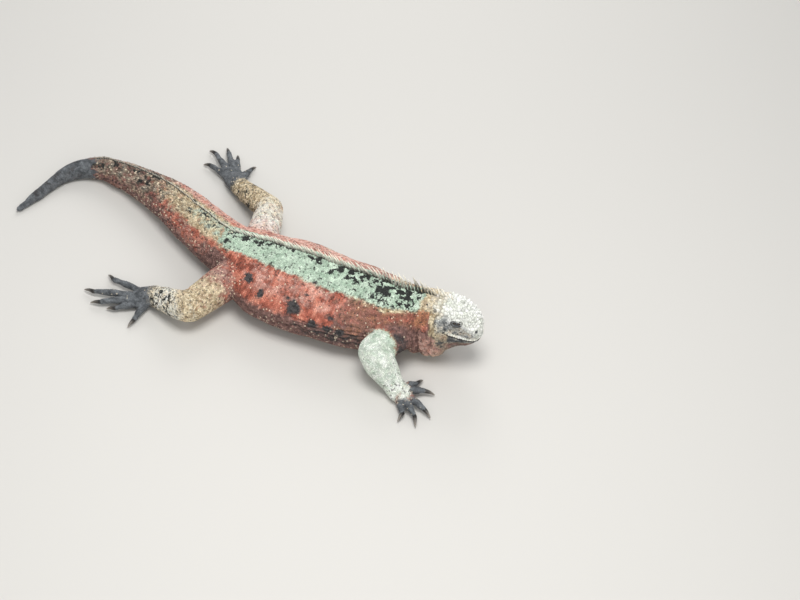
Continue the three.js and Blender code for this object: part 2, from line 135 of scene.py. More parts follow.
@dataclass(frozen=True)
class LegPlan:
    """One leg: its joints, and for each digit the root, the end and the tip of the claw."""

    root: Joint
    elbow: Joint
    bulge: float
    wrist: Joint
    palm: Joint
    digits: tuple[tuple[Triple, Triple, Triple], ...]


LEGS: dict[str, LegPlan] = {
    "foreleg_right": LegPlan(
        root=Joint((163, -22, 42), 19), elbow=Joint((141, -76, 45), 19), bulge=20,
        wrist=Joint((180, -88, 14.5), 13.5), palm=Joint((192, -93, 9.5), 15, 9),
        digits=(
            ((190, -80, 9), (200, -64, 6), (204, -52, 3)),
            ((197, -84, 9.5), (215, -71, 7), (228, -68, 3)),
            ((203, -92, 9.5), (229, -100, 7), (240, -106, 3)),
            ((201, -99, 9.5), (223, -116, 7), (230, -128, 3)),
            ((194, -102, 9), (207, -118, 6), (207, -131, 3)),
        ),
    ),
    "foreleg_left": LegPlan(
        root=Joint((136, 18, 34), 18), elbow=Joint((102, 64, 16), 16.5), bulge=15,
        wrist=Joint((148, 72, 12.5), 12), palm=Joint((160, 73, 9), 15, 8.5),
        digits=(
            ((161, 61, 8.5), (170, 49, 6), (176, 40, 3)),
            ((167, 66, 9), (186, 56, 7), (197, 51, 3)),
            ((171, 73, 9), (198, 73, 7), (210, 73, 3)),
            ((168, 80, 9), (195, 87, 7), (206, 91, 3)),
            ((161, 85, 8.5), (178, 96, 6), (186, 103, 3)),
        ),
    ),
    "hindleg_right": LegPlan(
        root=Joint((-74, -20, 36), 24), elbow=Joint((-100, -112, 32), 20), bulge=18.5,
        wrist=Joint((-157, -101, 15), 14), palm=Joint((-177, -108, 9.5), 16, 9),
        digits=(
            ((-163, -118, 8), (-163, -144, 5.5), (-164, -157, 3)),
            ((-173, -119, 8.5), (-194, -138, 6.5), (-205, -142, 3)),
            ((-181, -115, 9), (-216, -138, 7), (-229, -143, 3)),
            ((-186, -109, 9), (-234, -126, 7), (-249, -126, 3)),
            ((-182, -98, 8.5), (-224, -94, 6.5), (-237, -87, 3)),
        ),
    ),
    "hindleg_left": LegPlan(
        root=Joint((-72, 14, 38), 24), elbow=Joint((-101, 101, 34), 18.5), bulge=17,
        wrist=Joint((-168, 139, 15), 13.5), palm=Joint((-187, 156, 9.5), 16, 9),
        digits=(
            ((-179, 164, 8), (-180, 187, 5.5), (-177, 199, 3)),
            ((-189, 168, 8.5), (-205, 196, 6.5), (-212, 208, 3)),
            ((-196, 168, 9), (-223, 202, 7), (-233, 214, 3)),
            ((-200, 162, 9), (-238, 192, 7), (-251, 196, 3)),
            ((-196, 153, 8.5), (-231, 167, 6.5), (-243, 166, 3)),
        ),
    ),
}
DIGIT_THICK = (5.4, 4.6, 3.6)  # at the root, the knuckle and the end
CLAW_THICK = 2.9
OVERLAP = 0.85  # of the thickness, by which a length runs on past its joint
NARROWING = 0.9  # of the thickness, where that overlap ends

COAT_DEPTH = 0.9  # of the scales, by which the skin lies inside the full size
VOXEL = 2.02  # the grain at which all lengths are melted into one skin
STREAK_REACH = 11.0  # for each radian; less than the true way round draws streaks out
SHRINKAGE = 0.5  # of thin digits as the skin is relaxed
FLOOR_CLEAR = 0.5  # of the skin above the floor, where scales lie flat under it


@dataclass(frozen=True)
class Feature:
    """An oval place on the head, the same on both sides.

    size is the half length round the head and along it, height how far it stands out, and
    tilt the angle in degrees by which its front end is lower.
    """

    at: float
    turn: float
    size: tuple[float, float]
    height: float = 0.0
    tilt: float = 0.0


EYE = Feature(place("eyes", 0.24), 57, (2.5, 5.0), tilt=15)
SLIT = (0.9, 5.3)  # half sizes of the gap between the lids
EYE_RADIUS = 6.1
EYE_SUNK = 4.7
LID_RADIUS = 7.0
BROW = Feature(place("eyes", 0.1), 38, (5.5, 11.0), 1.6)
LIDS = Feature(EYE.at, EYE.turn + 1, (4.0, 6.7), tilt=18)
ORBIT = Feature(EYE.at, EYE.turn, (6.4, 9.3), tilt=15)
EAR = Feature(place("crown", 0.04), 50, (2.8, 4.6), -0.9, tilt=12)
NOSTRIL = Feature(place("snout", 0.8), 42, (1.4, 1.9), -2.4)
CHEEK = Feature(place("crown", 0.25), 104, (15.0, 13.0), 1.6)

MOUTH_FRONT = (243.0, 52.2)  # x and z of the mouth line near the front
MOUTH_RISE = 0.28  # its rise for each millimetre back
MOUTH_CORNER = 214.0


# Small maths


def through(values: Array, t: Array) -> Array:
    """The value of a smooth curve through a list of numbers.

    Args:
        values: the numbers, one at each whole step.
        t: places along the list, in list steps.

    Returns:
        The curve's value at each place.
    """
    last = len(values) - 1
    i = np.clip(np.floor(t).astype(int), 0, last - 1)
    f = t - i
    a, b = values[np.clip(i - 1, 0, last)], values[i]
    c, d = values[i + 1], values[np.clip(i + 2, 0, last)]
    f2, f3 = f * f, f * f * f
    ends = (2 * f3 - 3 * f2 + 1) * b + (3 * f2 - 2 * f3) * c
    return ends + (f3 - 2 * f2 + f) * (c - a) / 2 + (f3 - f2) * (d - b) / 2


def signed_power(v: Array, p: Array) -> Array:
    """A power that keeps the sign."""
    return np.sign(v) * np.abs(v) ** p


def unit(v: Array) -> Array:
    """Vectors brought to length 1."""
    return v / np.maximum(np.linalg.norm(v, axis=-1, keepdims=True), 1e-9)


def rise(x: Array, low: float, high: float) -> Array:
    """A soft step from 0 at low to 1 at high, or down where high is the lower."""
    f = np.clip((x - low) / (high - low), 0, 1)
    return f * f * (3 - 2 * f)


def band(x: Array, low: float, high: float, soft: float) -> Array:
    """1 between low and high, with soft edges outside."""
    return rise(x, low - soft, low) * rise(x, high + soft, high)


def hump(x: Array, middle: float | Array, wide: float) -> Array:
    """A soft hump of height 1."""
    return np.exp(-(((x - middle) / wide) ** 2))


def travel(line: Array) -> Array:
    """How far along a line of points each of them lies."""
    return np.concatenate([[0], np.cumsum(np.linalg.norm(np.diff(line, axis=0), axis=1))])


def finder(points: Array) -> KDTree:
    """A tree that finds the nearest of some points.

    Args:
        points: the points.

    Returns:
        The tree, which knows each by its number.
    """
    tree = KDTree(len(points))
    for k, point in enumerate(points):
        tree.insert(point, k)
    tree.balance()
    return tree


def mix(a: Triple, b: Triple, f: float) -> Triple:
    """The point a part of the way from one to another."""
    return tuple(p + (q - p) * f for p, q in zip(a, b))


def past(a: Triple, b: Triple, by: float) -> Triple:
    """The point beyond the second of two, in line with them."""
    return tuple(np.array(b) + unit(np.subtract(b, a)) * by)


class Waves:
    """Smooth seeded noise, as a sum of plane waves in many directions."""

    COUNT = 24

    def __init__(self, length: float, seed: int) -> None:
        """Draws the waves.

        Args:
            length: the usual wave length in millimetres.
            seed: the seed of the draw.
        """
        draw = np.random.default_rng(seed)
        way = unit(draw.normal(size=(self.COUNT, 3)))
        self.ways = way * (2 * np.pi / (length * draw.uniform(0.7, 1.5, (self.COUNT, 1))))
        self.phases = draw.uniform(0, 2 * np.pi, self.COUNT)

    def at(self, points: Array) -> Array:
        """The noise at each point, mostly between -1 and 1."""
        waves = np.sin(points @ self.ways.T + self.phases)
        return waves.sum(axis=1) / np.sqrt(len(self.phases)) * 0.8


# Lengths of flesh


class Part(Enum):
    """What a length of flesh is."""

    BODY = "body"
    UPPER = "upper"
    LOWER = "lower"
    PALM = "palm"
    DIGIT = "digit"
    CLAW = "claw"


@dataclass
class Seats:
    """Places on the skin with unit vectors along the length, round it and out."""

    at: Array
    along: Array
    around: Array
    out: Array
    t: Array
    turn: Array

    def pick(self, chosen: Array) -> "Seats":
        """The chosen seats alone."""
        parts = (self.at, self.along, self.around, self.out, self.t, self.turn)
        return Seats(*(a[chosen] for a in parts))

    def __len__(self) -> int:
        """How many seats there are."""
        return len(self.t)


@dataclass
class Loft:
    """A length of flesh whose section changes from station to station."""

    part: Part
    owner: str
    stations: list[Station]
    round_start: float
    round_end: float
    table: dict[str, Array] = field(init=False)

    def __post_init__(self) -> None:
        """Lays the stations out as one array for each measure."""
        keys = ("wide", "up", "down", "top", "low", "lean", "crest", "saddle")
        self.table = {k: np.array([getattr(s, k) for s in self.stations], float) for k in keys}
        self.table["axis"] = np.array([s.at for s in self.stations], float)
        self.last = len(self.stations) - 1

    def value(self, key: str, t: Array) -> Array:
        """A measure of the section at t."""
        return through(self.table[key], np.asarray(t, float))

    def axis(self, t: Array) -> Array:
        """The axis point at t."""
        t = np.asarray(t, float)
        return np.stack([through(self.table["axis"][:, k], t) for k in range(3)], axis=-1)

    def frame(self, t: Array) -> tuple[Array, Array, Array]:
        """The directions of the length.

        Args:
            t: places along it.

        Returns:
            Unit vectors along it, to the side and up.
        """
        step = 0.02
        t = np.asarray(t, float)
        ahead = self.axis(np.minimum(self.last, t + step))
        along = unit(ahead - self.axis(np.maximum(0, t - step)))
        side = unit(np.cross(along, (0, 0, 1)))
        return along, side, unit(np.cross(side, along))

    def swell(self, t: Array) -> Array:
        """How much of its full size the section has near the two round ends.

        Args:
            t: places along the length.

        Returns:
            A number from 0 at the very end to 1.
        """
        here = self.axis(t)
        at_start = np.asarray(t) < self.last / 2
        ends = self.table["axis"]
        end = np.where(at_start[..., None], ends[0], ends[-1])
        reach = np.where(at_start, self.round_start, self.round_end)
        f = np.minimum(1, np.linalg.norm(here - end, axis=-1) / reach)
        return np.sqrt(np.maximum(0, 1 - (1 - f) ** 2))

    def point(self, t: Array, turn: Array, grow: float = 0.0) -> Array:
        """The surface point.

        Args:
            t: places along the length.
            turn: turns from the top in radians; a quarter turn is the side.
            grow: how far outside its full size it lies.

        Returns:
            The points in millimetres.
        """
        _, side, up = self.frame(t)
        c, s = np.cos(turn), np.sin(turn)
        n = np.where(c > 0, self.value("top", t), self.value("low", t))
        tall = np.where(c > 0, self.value("up", t), self.value("down", t)) + grow
        wide = self.value("wide", t) + grow
        lean = self.value("lean", t) * np.maximum(0, c) ** 2
        swell = self.swell(t)
        across = (wide * signed_power(s, 2 / n) + lean) * swell
        high = tall * signed_power(c, 2 / n) * swell
        return self.axis(t) + side * across[..., None] + up * high[..., None]

    def seats(self, t: Array, turn: Array, grow: float = 0.0) -> Seats:
        """The surface points with their directions.

        Args:
            t: places along the length.
            turn: turns from the top in radians.
            grow: how far outside its full size they lie.

        Returns:
            The seats.
        """
        t, turn = np.broadcast_arrays(np.asarray(t, float), np.asarray(turn, float))
        step = 0.03
        at = self.point(t, turn, grow)
        before = self.point(np.maximum(0.001, t - step), turn)
        along = unit(self.point(np.minimum(self.last, t + step), turn) - before)
        around = unit(self.point(t, turn + step) - self.point(t, turn - step))
        out = unit(np.cross(along, around))
        inward = np.sum(out * (at - self.axis(t)), axis=-1) < 0
        out[inward] *= -1
        return Seats(at, along, unit(np.cross(out, along)), out, t.copy(), turn.copy())

    def fill(self, bm: BMesh, sides: int, rings: int, grow: float) -> None:
        """Adds the closed surface to a mesh, as a ball drawn out along the length.

        Args:
            bm: the mesh that it is added to.
            sides: facets round the section.
            rings: facets along the length.
            grow: how far outside its full size it lies.
        """
        made = bmesh.ops.create_uvsphere(bm, u_segments=sides, v_segments=rings, radius=1.0)
        ball = np.array([v.co for v in made["verts"]])
        v = np.arccos(np.clip(ball[:, 2], -1, 1)) / np.pi
        crowding = 0.5  # of the rings, towards the two ends
        t = (v - crowding / self.last * np.sin(2 * np.pi * v)) * self.last
        places = self.point(t, np.arctan2(ball[:, 1], ball[:, 0]), grow) * MM
        for vert, co in zip(made["verts"], places):
            vert.co = co

    def locate(self, points: Array) -> tuple[Array, Array, Array]:
        """Finds where points lie on the length.

        Args:
            points: places near the surface.

        Returns:
            The place along, the turn, and the rough distance from the surface.
        """
        steps = np.linspace(0, self.last, 30 * self.last + 1)
        tree = finder(self.axis(steps))
        t = steps[np.array([tree.find(p)[1] for p in points])]
        along, _, _ = self.frame(t)
        forth = np.sum((points - self.axis(t)) * along, axis=-1)
        t = np.clip(t + forth / np.maximum(self.speed(t, 0.02), 1), 0, self.last)
        _, side, up = self.frame(t)
        gap = points - self.axis(t)
        swell = np.maximum(self.swell(t), 0.2)
        high = np.sum(gap * up, axis=-1) / swell
        above = high > 0
        tall = np.where(above, self.value("up", t), self.value("down", t))
        n = np.where(above, self.value("top", t), self.value("low", t))
        c = signed_power(np.clip(high / tall, -3, 3), n / 2)
        across = np.sum(gap * side, axis=-1) / swell - self.value("lean", t) * np.clip(c, 0, 1) ** 2
        s = signed_power(across / self.value("wide", t), n / 2)
        ratio = (s * s + c * c) ** (1 / n)
        return t, np.arctan2(s, c), (ratio - 1) * (tall + self.value("wide", t)) / 2

    def speed(self, t: Array, step: float) -> Array:
        """How long a station is at t, measured over a small step."""
        return np.linalg.norm(self.axis(np.minimum(self.last, t + step)) - self.axis(t), axis=-1) / step

    def way(self, t: Array, turn: Array) -> Array:
        """Where places lie when the length is unrolled, for streaks across it.

        Args:
            t: places along the length.
            turn: turns from the top in radians.

        Returns:
            How far along and round it they lie, in metres.
        """
        steps = np.linspace(0, self.last, 20 * self.last + 1)
        along = np.interp(t, steps[1:], travel(self.axis(steps))[1:]) * MM
        return np.stack([along, turn * STREAK_REACH * MM, 0 * along], axis=1)

    def box(self, margin: float) -> tuple[Array, Array]:
        """Corners of a box round the length."""
        reach = margin + max(self.table["wide"].max(), self.table["up"].max(), self.table["down"].max())
        return self.table["axis"].min(axis=0) - reach, self.table["axis"].max(axis=0) + reach


def limb(part: Part, owner: str, joints: list[Joint]) -> Loft:
    """A length through joints, round at both ends."""
    stations = [Station(j.at, j.thick, j.tall or j.thick, j.tall or j.thick) for j in joints]
    return Loft(part, owner, stations, joints[0].thick, joints[-1].thick)


def leg_lofts(name: str, plan: LegPlan) -> list[Loft]:
    """The lengths of one leg: upper, lower, palm and five digits.

    Args:
        name: the leg.
        plan: its joints.

    Returns:
        The lengths, from the top down.
    """
    root, elbow, wrist, palm = plan.root, plan.elbow, plan.wrist, plan.palm
    swollen = (root.thick + elbow.thick) / 2 + 1
    upper = limb(Part.UPPER, name, [
        root,
        Joint(mix(root.at, elbow.at, 0.5), swollen),
        elbow,
        Joint(past(root.at, elbow.at, elbow.thick * OVERLAP), elbow.thick * NARROWING),
    ])
    lower = limb(Part.LOWER, name, [
        Joint(past(wrist.at, elbow.at, elbow.thick * OVERLAP), elbow.thick * NARROWING),
        elbow,
        Joint(mix(elbow.at, wrist.at, 0.4), plan.bulge),
        wrist,
        Joint(past(elbow.at, wrist.at, wrist.thick), wrist.thick * NARROWING),
    ])
    middle = mix(wrist.at, palm.at, 0.6)
    hand = limb(Part.PALM, name, [
        Joint(past(palm.at, wrist.at, wrist.thick), wrist.thick),
        wrist,
        Joint(middle, (wrist.thick + palm.thick) / 2, (wrist.thick + palm.tall) / 2),
        palm,
        Joint(past(wrist.at, palm.at, palm.thick * 0.6), palm.thick * 0.8, palm.tall * 0.8),
    ])
    lofts = [upper, lower, hand]
    for start, end, _ in plan.digits:
        half = mix(start, end, 0.5)
        lofts.append(limb(Part.DIGIT, name, [
            Joint(mix(palm.at, start, 0.3), DIGIT_THICK[0]),
            Joint(start, DIGIT_THICK[0]),
            Joint((half[0], half[1], half[2] + 1.5), DIGIT_THICK[1]),
            Joint(end, DIGIT_THICK[2]),
            Joint(past(start, end, DIGIT_THICK[2] * 0.6), DIGIT_THICK[2] * NARROWING),
        ]))
    return lofts


SPINE = Loft(Part.BODY, "body", list(BODY.values()), 11, 7)


# Markings


class Mask(Enum):
    """What is painted on the hide, each kept on the meshes as a number from 0 to 1."""

    DUSK = "dusk"  # mauve brown of throat, armpits and lower flanks, and painted shade under the jaw and from the spines on the far side of the back
    TAWNY = "tawny"  # orange brown of neck, shoulders and the middle of the tail
    BLUSH = "blush"  # salmon pink of the far side of the back
    SAND = "sand"  # yellowish tan of hips, thighs and the top of the tail, and painted highlights behind the neck on the far side and on a fold under the saddle
    MINT = "mint"  # pale green of the saddle
    CREAM = "cream"  # near white of the crown and snout
    SLATE = "slate"  # dark grey of feet and the regrown tail, and painted shade under the jaw
    BLOTCH = "blotch"  # dark patches on the flanks and lines on the head, and painted shade in creases, armpits, under the jaw and on the regrown tail
    INK = "ink"  # black mottling of the saddle
    FLECK = "fleck"  # the share of single pale scales
    SPECK = "speck"  # the share of single black scales, raised beside the ridge on the far side as painted shadow of the spines


Masks = dict[Mask, Array]


@dataclass(frozen=True)
class Spot:
    """A dark patch on the body, at a place and turn, with its half sizes along and across."""

    at: float
    turn: float
    long: float
    wide: float


SPOTS = (
    Spot(9.57, -64, 11.5, 10.5), Spot(11.12, -53, 8.5, 8.0), Spot(10.66, -62, 5.5, 7.5),
    Spot(9.33, -35, 4.0, 2.8), Spot(8.48, -64, 4.6, 3.6), Spot(8.95, -76, 5.0, 4.6),
    Spot(8.08, -84, 5.6, 4.0), Spot(8.5, -79, 5.0, 3.6), Spot(9.38, -48, 2.6, 2.2),
    Spot(9.84, -56, 3.4, 2.4), Spot(12.42, -52, 4.4, 4.4), Spot(9.0, 62, 10.0, 8.5),
    Spot(10.2, 55, 8.0, 7.0), Spot(11.0, 68, 5.5, 6.5), Spot(7.9, 70, 6.0, 5.0),
    Spot(9.6, 82, 4.5, 4.5),
)
SPOT_REACH = 1.36  # in half sizes, where a patch has faded out


class Markings:
    """Works out every mask from the place on the animal.

    Places along the spine are station numbers, and turns from the ridge are degrees.
    """

    def body(self, t: Array, turn: Array, points: Array) -> Masks:
        """The masks on head, trunk and tail.

        Args:
            t: places along the spine.
            turn: turns from the ridge in radians, negative on the right.
            points: the places themselves.

        Returns:
            A number from 0 to 1 for each mask and place.
        """
        d = np.degrees(turn)
        low = np.abs(d)
        edge = SPINE.value("saddle", t)
        t = t + (0.1 + 0.2 * rise(t, 4.1, 4.6)) * Waves(13, SEED + 8).at(points) * rise(t, 2.5, 3.5)

        # Parts of the body
        head, nape = rise(t, 4.2, 3.4), band(t, 3.8, 5.0, 0.6)
        trunk, tail = band(t, 5.3, 12.6, 0.7), rise(t, 12.0, 13.8)
        worn, regrown = rise(t, 14.6, 17.2), rise(t, 19.1, 19.35)
        fresh = tail * (1 - worn)
        old = worn * (1 - regrown)
        top = rise(low, edge + 16, edge - 12) * rise(d, 30, 8)
        fringe = trunk * hump(d, -edge, 6.5) * (1 - 0.5 * rise(t, 7.5, 8.6))

        # Parts of the head
        face, crown = head * band(low, 58, 99, 10), head * rise(low, 66, 52)
        # under is the underside of head and throat: partly their own mauve and tan, partly darker as painted
        # shade
        under = rise(low + 12 * head, 92, 112)
        cheek = band(t, 2.8, 4.4, 0.7) * rise(low, 74, 94)
        rim = band(t, 3.42, 3.9, 0.25) * band(low, 36, 84, 12)
        lips, mouth = (line * head for line in self.lips(points))
        face = face * (1 - 0.6 * cheek) * (1 - 0.8 * lips)
        rear = rise(t, 2.5, 3.5)

        # The green saddle, and the black on it
        far_strip = 0.46 * band(d + 16 * Waves(24, SEED + 9).at(points), 62, 80, 14)
        mint = trunk * (band(d, 4 - edge, 12, 10) + far_strip)
        mint += 0.5 * nape * band(d, -34, 20, 8) * rise(t, 4.2, 5.0)
        mint += 0.42 * band(t, 12.4, 14.4, 1.0) * band(d, -26, 8, 12)
        bars = self.bars(t, d, points)
        ink = mint * (0.17 + 0.12 * hump(d, -3, 9) + 0.1 * band(t, 5.2, 8.2, 0.8))
        ink += 0.2 * mint * band(t, 5.1, 7.1, 0.4) * rise(low, 8, 22) + bars * band(t, 5.0, 12.6, 0.6)
        ink += 0.12 * nape * rise(low, 38, 22) + 0.36 * old * rise(low, 90, 30)
        ink += 0.24 * fresh * rise(low, 40, 6) * rise(d, 24, 8) + 0.2 * face

        # Tan, salmon, mauve and orange brown
        sand = 0.62 * fringe + 0.9 * nape * rise(low, 46, 32)
        # The first term below, on the far side behind the neck, is a painted highlight
        sand += (
            0.6 * band(t, 5.3, 6.5, 0.4) * band(d, 16, 44, 8) + 0.8 * fresh * top
            + 0.4 * old * rise(low, 110, 60) + 0.5 * rise(low, 128, 150) * (1 - head)
        )
        sand += 0.85 * crown * rear + 0.66 * face + 0.9 * lips + 0.34 * head * under + 0.6 * rim + 0.1 * cheek
        # A painted highlight along the raised fold under the edge of the saddle
        sand += 0.7 * band(t, 5.95, 6.85, 0.15) * hump(d, -45, 2.2)
        blush = 0.52 * band(d, 11, 44, 6) * band(t, 5.2, 16.0, 0.8) + 0.3 * fresh * band(low, 50, 90, 15)
        blush += 0.4 * band(t, 8.8, 11.0, 0.9) * band(low, 40, 58, 12) + 0.5 * cheek
        blush += 0.24 * band(t, 4.0, 5.6, 0.5) * rise(low, 84, 100)
        # The mauve brown beside the ridge on the far side is painted shadow of the spines
        dusk = trunk * (0.95 * rise(low, 60, 98) + 0.24 * band(d, 8, 44, 6))
        dusk = dusk + 0.7 * under * band(t, 2.4, 6.0, 0.9)
        dusk += band(t, 3.9, 8.0, 0.9) * (0.5 + 0.3 * rise(low, 62, 100) + 0.12 * rise(t, 6.6, 7.4))
        dusk += 0.95 * hump(t, 12.6, 0.7) * band(low, 60, 112, 16)
        dusk += tail * (0.34 + 0.5 * rise(low, 66, 112)) + head * under + 0.4 * old + 0.85 * cheek + 0.6 * rim
        tawny = 1.1 * np.exp(-(((t - 4.45) / 0.42) ** 2) - ((low - 48) / 22) ** 2)
        tawny += 0.42 * band(t, 5.1, 8.0, 0.7) * band(low, 42, 92, 12) + 0.24 * old

        # Near white and slate
        cream = crown * (1.1 - 0.7 * rear) + 0.5 * lips + 0.5 * face + 0.3 * nape * rise(low, 46, 30)
        cream += 0.85 * regrown * rise(t, 20.4, 19.3) * rise(d, -15, 30) + 0.5 * rise(t, 22.5, 22.9)
        slate = 0.36 * old * rise(low, 110, 50) + 0.9 * regrown
        # The grey under the jaw below is painted shade
        slate += 0.46 * face + 0.33 * head * under + 0.26 * fresh * top
        slate += 0.24 * self.oval(points, LIDS, 1.0) + 0.2 * self.oval(points, EAR, 1.15)
        slate += 0.6 * self.oval(points, NOSTRIL, 1.2)

        # Dark patches, the mouth line and the rims of the lids, with painted shade in the creases, under the
        # jaw, low on the near flank and on the regrown tail
        _, crease = creases(t, low, points)
        blotch = np.zeros(len(t))
        for spot in SPOTS:
            seat = SPINE.seats(np.array([spot.at]), np.radians([spot.turn]))
            gap = points - seat.at[0]
            far = np.hypot(gap @ seat.along[0] / spot.long, gap @ seat.around[0] / spot.wide)
            blotch = np.maximum(blotch, np.clip(SPOT_REACH - far, 0, 1))
        # Low on the near flank behind the foreleg, dark marking and painted shade together; under the jaw,
        # painted shade
        blotch += 0.28 * band(t, 7.3, 9.2, 0.4) * band(-d, 86, 112, 8) + 0.95 * mouth + 0.36 * head * under
        # Painted shade in the creases of neck and flanks, and painted shade on the middle of the regrown tail
        blotch += 0.42 * np.clip(crease, 0, 1) * rise(low, 20, 60) + 0.34 * band(t, 20.0, 22.0, 0.5)
        for sign in SIDES:
            blotch += 0.8 * hump(feature_distance(points, LIDS, sign), 1.02, 0.14)

        # Shares of single scales
        plain = trunk * (1 - np.clip(mint, 0, 1))
        # The black scales beside the ridge on the far side are painted shadow of the spines
        speck = trunk * (0.05 + 0.08 * band(d, 8, 44, 6)) + 0.16 * face + 0.12 * fresh
        speck = speck + 0.2 * old + 0.07 * nape + 0.22 * fringe
        fleck = 0.02 * plain + 0.035 * plain * rise(low, 75, 100) + 0.06 * old + 0.03 * fresh
        return dict(zip(Mask, (dusk, tawny, blush, sand, mint, cream, slate, blotch, ink, fleck, speck)))

    @staticmethod
    def bars(t: Array, d: Array, points: Array) -> Array:
        """The dark bars that run down from the ridge, broad and long on the shoulders.

        Args:
            t: places along the spine.
            d: turns from the ridge in degrees, negative on the right.
            points: the places themselves.

        Returns:
            From 0 to 1, how dark each place is.
        """
        draw = np.random.default_rng(SEED + 5)
        wander = 0.09 * Waves(15, SEED + 6).at(points) + 0.06 * Waves(6, SEED + 7).at(points)
        most = np.zeros(len(t))
        for middle in (5.93, 6.95, *np.arange(7.65, 12.2, 0.42)):
            broad = float(middle < 7)
            reach = draw.uniform(8, 24) + draw.uniform(4, 12) * broad
            half = draw.uniform(0.06, 0.1) + 0.14 * broad
            off = draw.uniform(-0.1, 0.1) * (1 - broad)
            gap = (t + wander * (1 + broad) - middle - off + 0.004 * d) / half
            bar = hump(gap, 0, 1) * band(d, -reach, 4 + 8 * broad, 8)
            most = np.maximum(most, bar * draw.uniform(0.46, 0.7))
        return most

    def leg(self, loft: Loft, t: Array) -> Masks:
        """The masks on a leg.

        Args:
            loft: the length of the leg that the places are on.
            t: places along it.

        Returns:
            A number from 0 to 1 for each mask and place.
        """
        along = t / loft.last
        fore, near = loft.owner.startswith("fore"), loft.owner.endswith("right")
        if loft.part is Part.UPPER and fore:
            far = rise(along, 0.34, 0.46)
            found = {
                Mask.SAND: 0.6 * band(along, 0.38, 0.44, 0.06), Mask.MINT: far, Mask.CREAM: 0.44 * far,
                # The dark band near the root is painted shade of the armpit
                Mask.DUSK: 0.9 * (1 - far), Mask.BLOTCH: 0.62 * band(along, 0.24, 0.34, 0.08),
            }
        elif loft.part is Part.UPPER:
            root = rise(along, 0.45, 0.15)
            found = {
                Mask.SAND: 0.64 * rise(along, 0.15, 0.5), Mask.DUSK: 0.6, Mask.SPECK: 0.08, Mask.FLECK: 0.1,
                Mask.BLUSH: 0.4 + 0.05 * root if near else 0.5 + 0.3 * root, Mask.CREAM: 0.0 if near else 0.5,
            }
        elif loft.part is Part.LOWER and fore:
            found = {Mask.MINT: 1.0, Mask.CREAM: 0.5, Mask.SPECK: 0.01 + 0.12 * rise(along, 0.6, 0.9)}
        elif loft.part is Part.LOWER:
            ankle = rise(along, 0.25, 0.7)
            found = {
                Mask.SAND: 0.82, Mask.BLUSH: 0.4, Mask.CREAM: 0.5 if near else 0.14, Mask.FLECK: 0.12,
                Mask.SLATE: 0.9 * rise(along, 0.68, 0.95), Mask.INK: 0.2 + 0.24 * ankle,
                Mask.SPECK: 0.16 + 0.2 * ankle,
            }
        elif fore:
            tip = rise(along, 0.2, 0.5) if loft.part is Part.DIGIT else 0.0
            found = {
                Mask.SAND: 0.4, Mask.MINT: 0.6 * (1 - tip), Mask.CREAM: 0.4 * (1 - tip) + 0.16,
                Mask.SLATE: 0.1 + 0.8 * tip, Mask.SPECK: 0.14 * (1 - tip), Mask.FLECK: 0.03,
            }
        else:
            foot = rise(along, 0.0, 0.4) if loft.part is Part.PALM else 1.0
            found = {
                Mask.SAND: 0.8, Mask.CREAM: 0.4 * (1 - foot), Mask.SLATE: 0.3 + 0.67 * foot,
                Mask.SPECK: 0.3 * (1 - foot), Mask.FLECK: 0.01,
            }
        none = np.zeros(len(t))
        return {mask: none + found.get(mask, 0.0) for mask in Mask}

    @staticmethod
    def lips(points: Array) -> tuple[Array, Array]:
        """The pale lips, fainter on the lower one, and the dark line between them.

        Args:
            points: places on the head.

        Returns:
            From 0 to 1, how much each place is on the lips and on the line.
        """
        off = mouth_offset(points)
        reach = rise(points[:, 0], MOUTH_CORNER - 3, MOUTH_CORNER + 4)
        pale = band(off, 1.0, 4.0, 1.0) + 0.2 * band(off, -3.0, -1.0, 1.0)
        return pale * reach, hump(off, 0, 1.1) * reach

    @staticmethod
    def oval(points: Array, feature: Feature, reach: float) -> Array:
        """1 within a feature of the head on both sides, with a soft edge outside."""
        far = np.minimum(*(feature_distance(points, feature, sign) for sign in SIDES))
        return rise(far, reach + 0.35, reach)


def mouth_offset(points: Array) -> Array:
    """How far points lie above the line of the mouth."""
    return points[:, 2] - (MOUTH_FRONT[1] + (MOUTH_FRONT[0] - points[:, 0]) * MOUTH_RISE)


@lru_cache
def feature_seat(feature: Feature, sign: int) -> Seats:
    """The place and directions of a feature.

    Args:
        feature: the feature.
        sign: 1 for the left one and -1 for the right one.

    Returns:
        One seat, with around pointing up the head.
    """
    seat = SPINE.seats(np.array([feature.at]), np.radians([feature.turn * sign]))
    tilt = np.radians(feature.tilt)
    high = seat.around * -sign
    along = seat.along * np.cos(tilt) + high * np.sin(tilt)
    return replace(seat, along=along, around=high * np.cos(tilt) - seat.along * np.sin(tilt))


def feature_distance(points: Array, feature: Feature, sign: int) -> Array:
    """How far points lie from the middle of a feature.

    Args:
        points: the places.
        feature: the feature.
        sign: 1 for the left one and -1 for the right one.

    Returns:
        The distance in the feature's own half sizes, or 99 on the far side of the head.
    """
    seat = feature_seat(feature, sign)
    gap = points - seat.at[0]
    far = np.hypot(gap @ seat.around[0] / feature.size[0], gap @ seat.along[0] / feature.size[1])
    return np.where(np.abs(gap @ seat.out[0]) < 12, far, 99.0)


# The hide


STATION_MM = 19.0  # the usual length of a station of the neck


@dataclass(frozen=True)
class Fold:
    """A crease across the body at a place, over a range of turns, with its slant and size."""

    at: float
    turns: tuple[float, float]
    slant: float
    depth: float
    width: float


FOLDS = (
    Fold(3.38, (24, 108), 0.0075, 3.2, 2.6),
    Fold(4.25, (86, 150), 0.002, 2.2, 2.2),
    Fold(4.8, (76, 160), 0.002, 2.2, 2.4),
    Fold(5.14, (44, 104), 0.004, 2.4, 2.6),
    Fold(5.5, (72, 150), 0.002, 2.4, 2.4),
    Fold(6.1, (70, 150), 0.002, 1.6, 2.2),
)
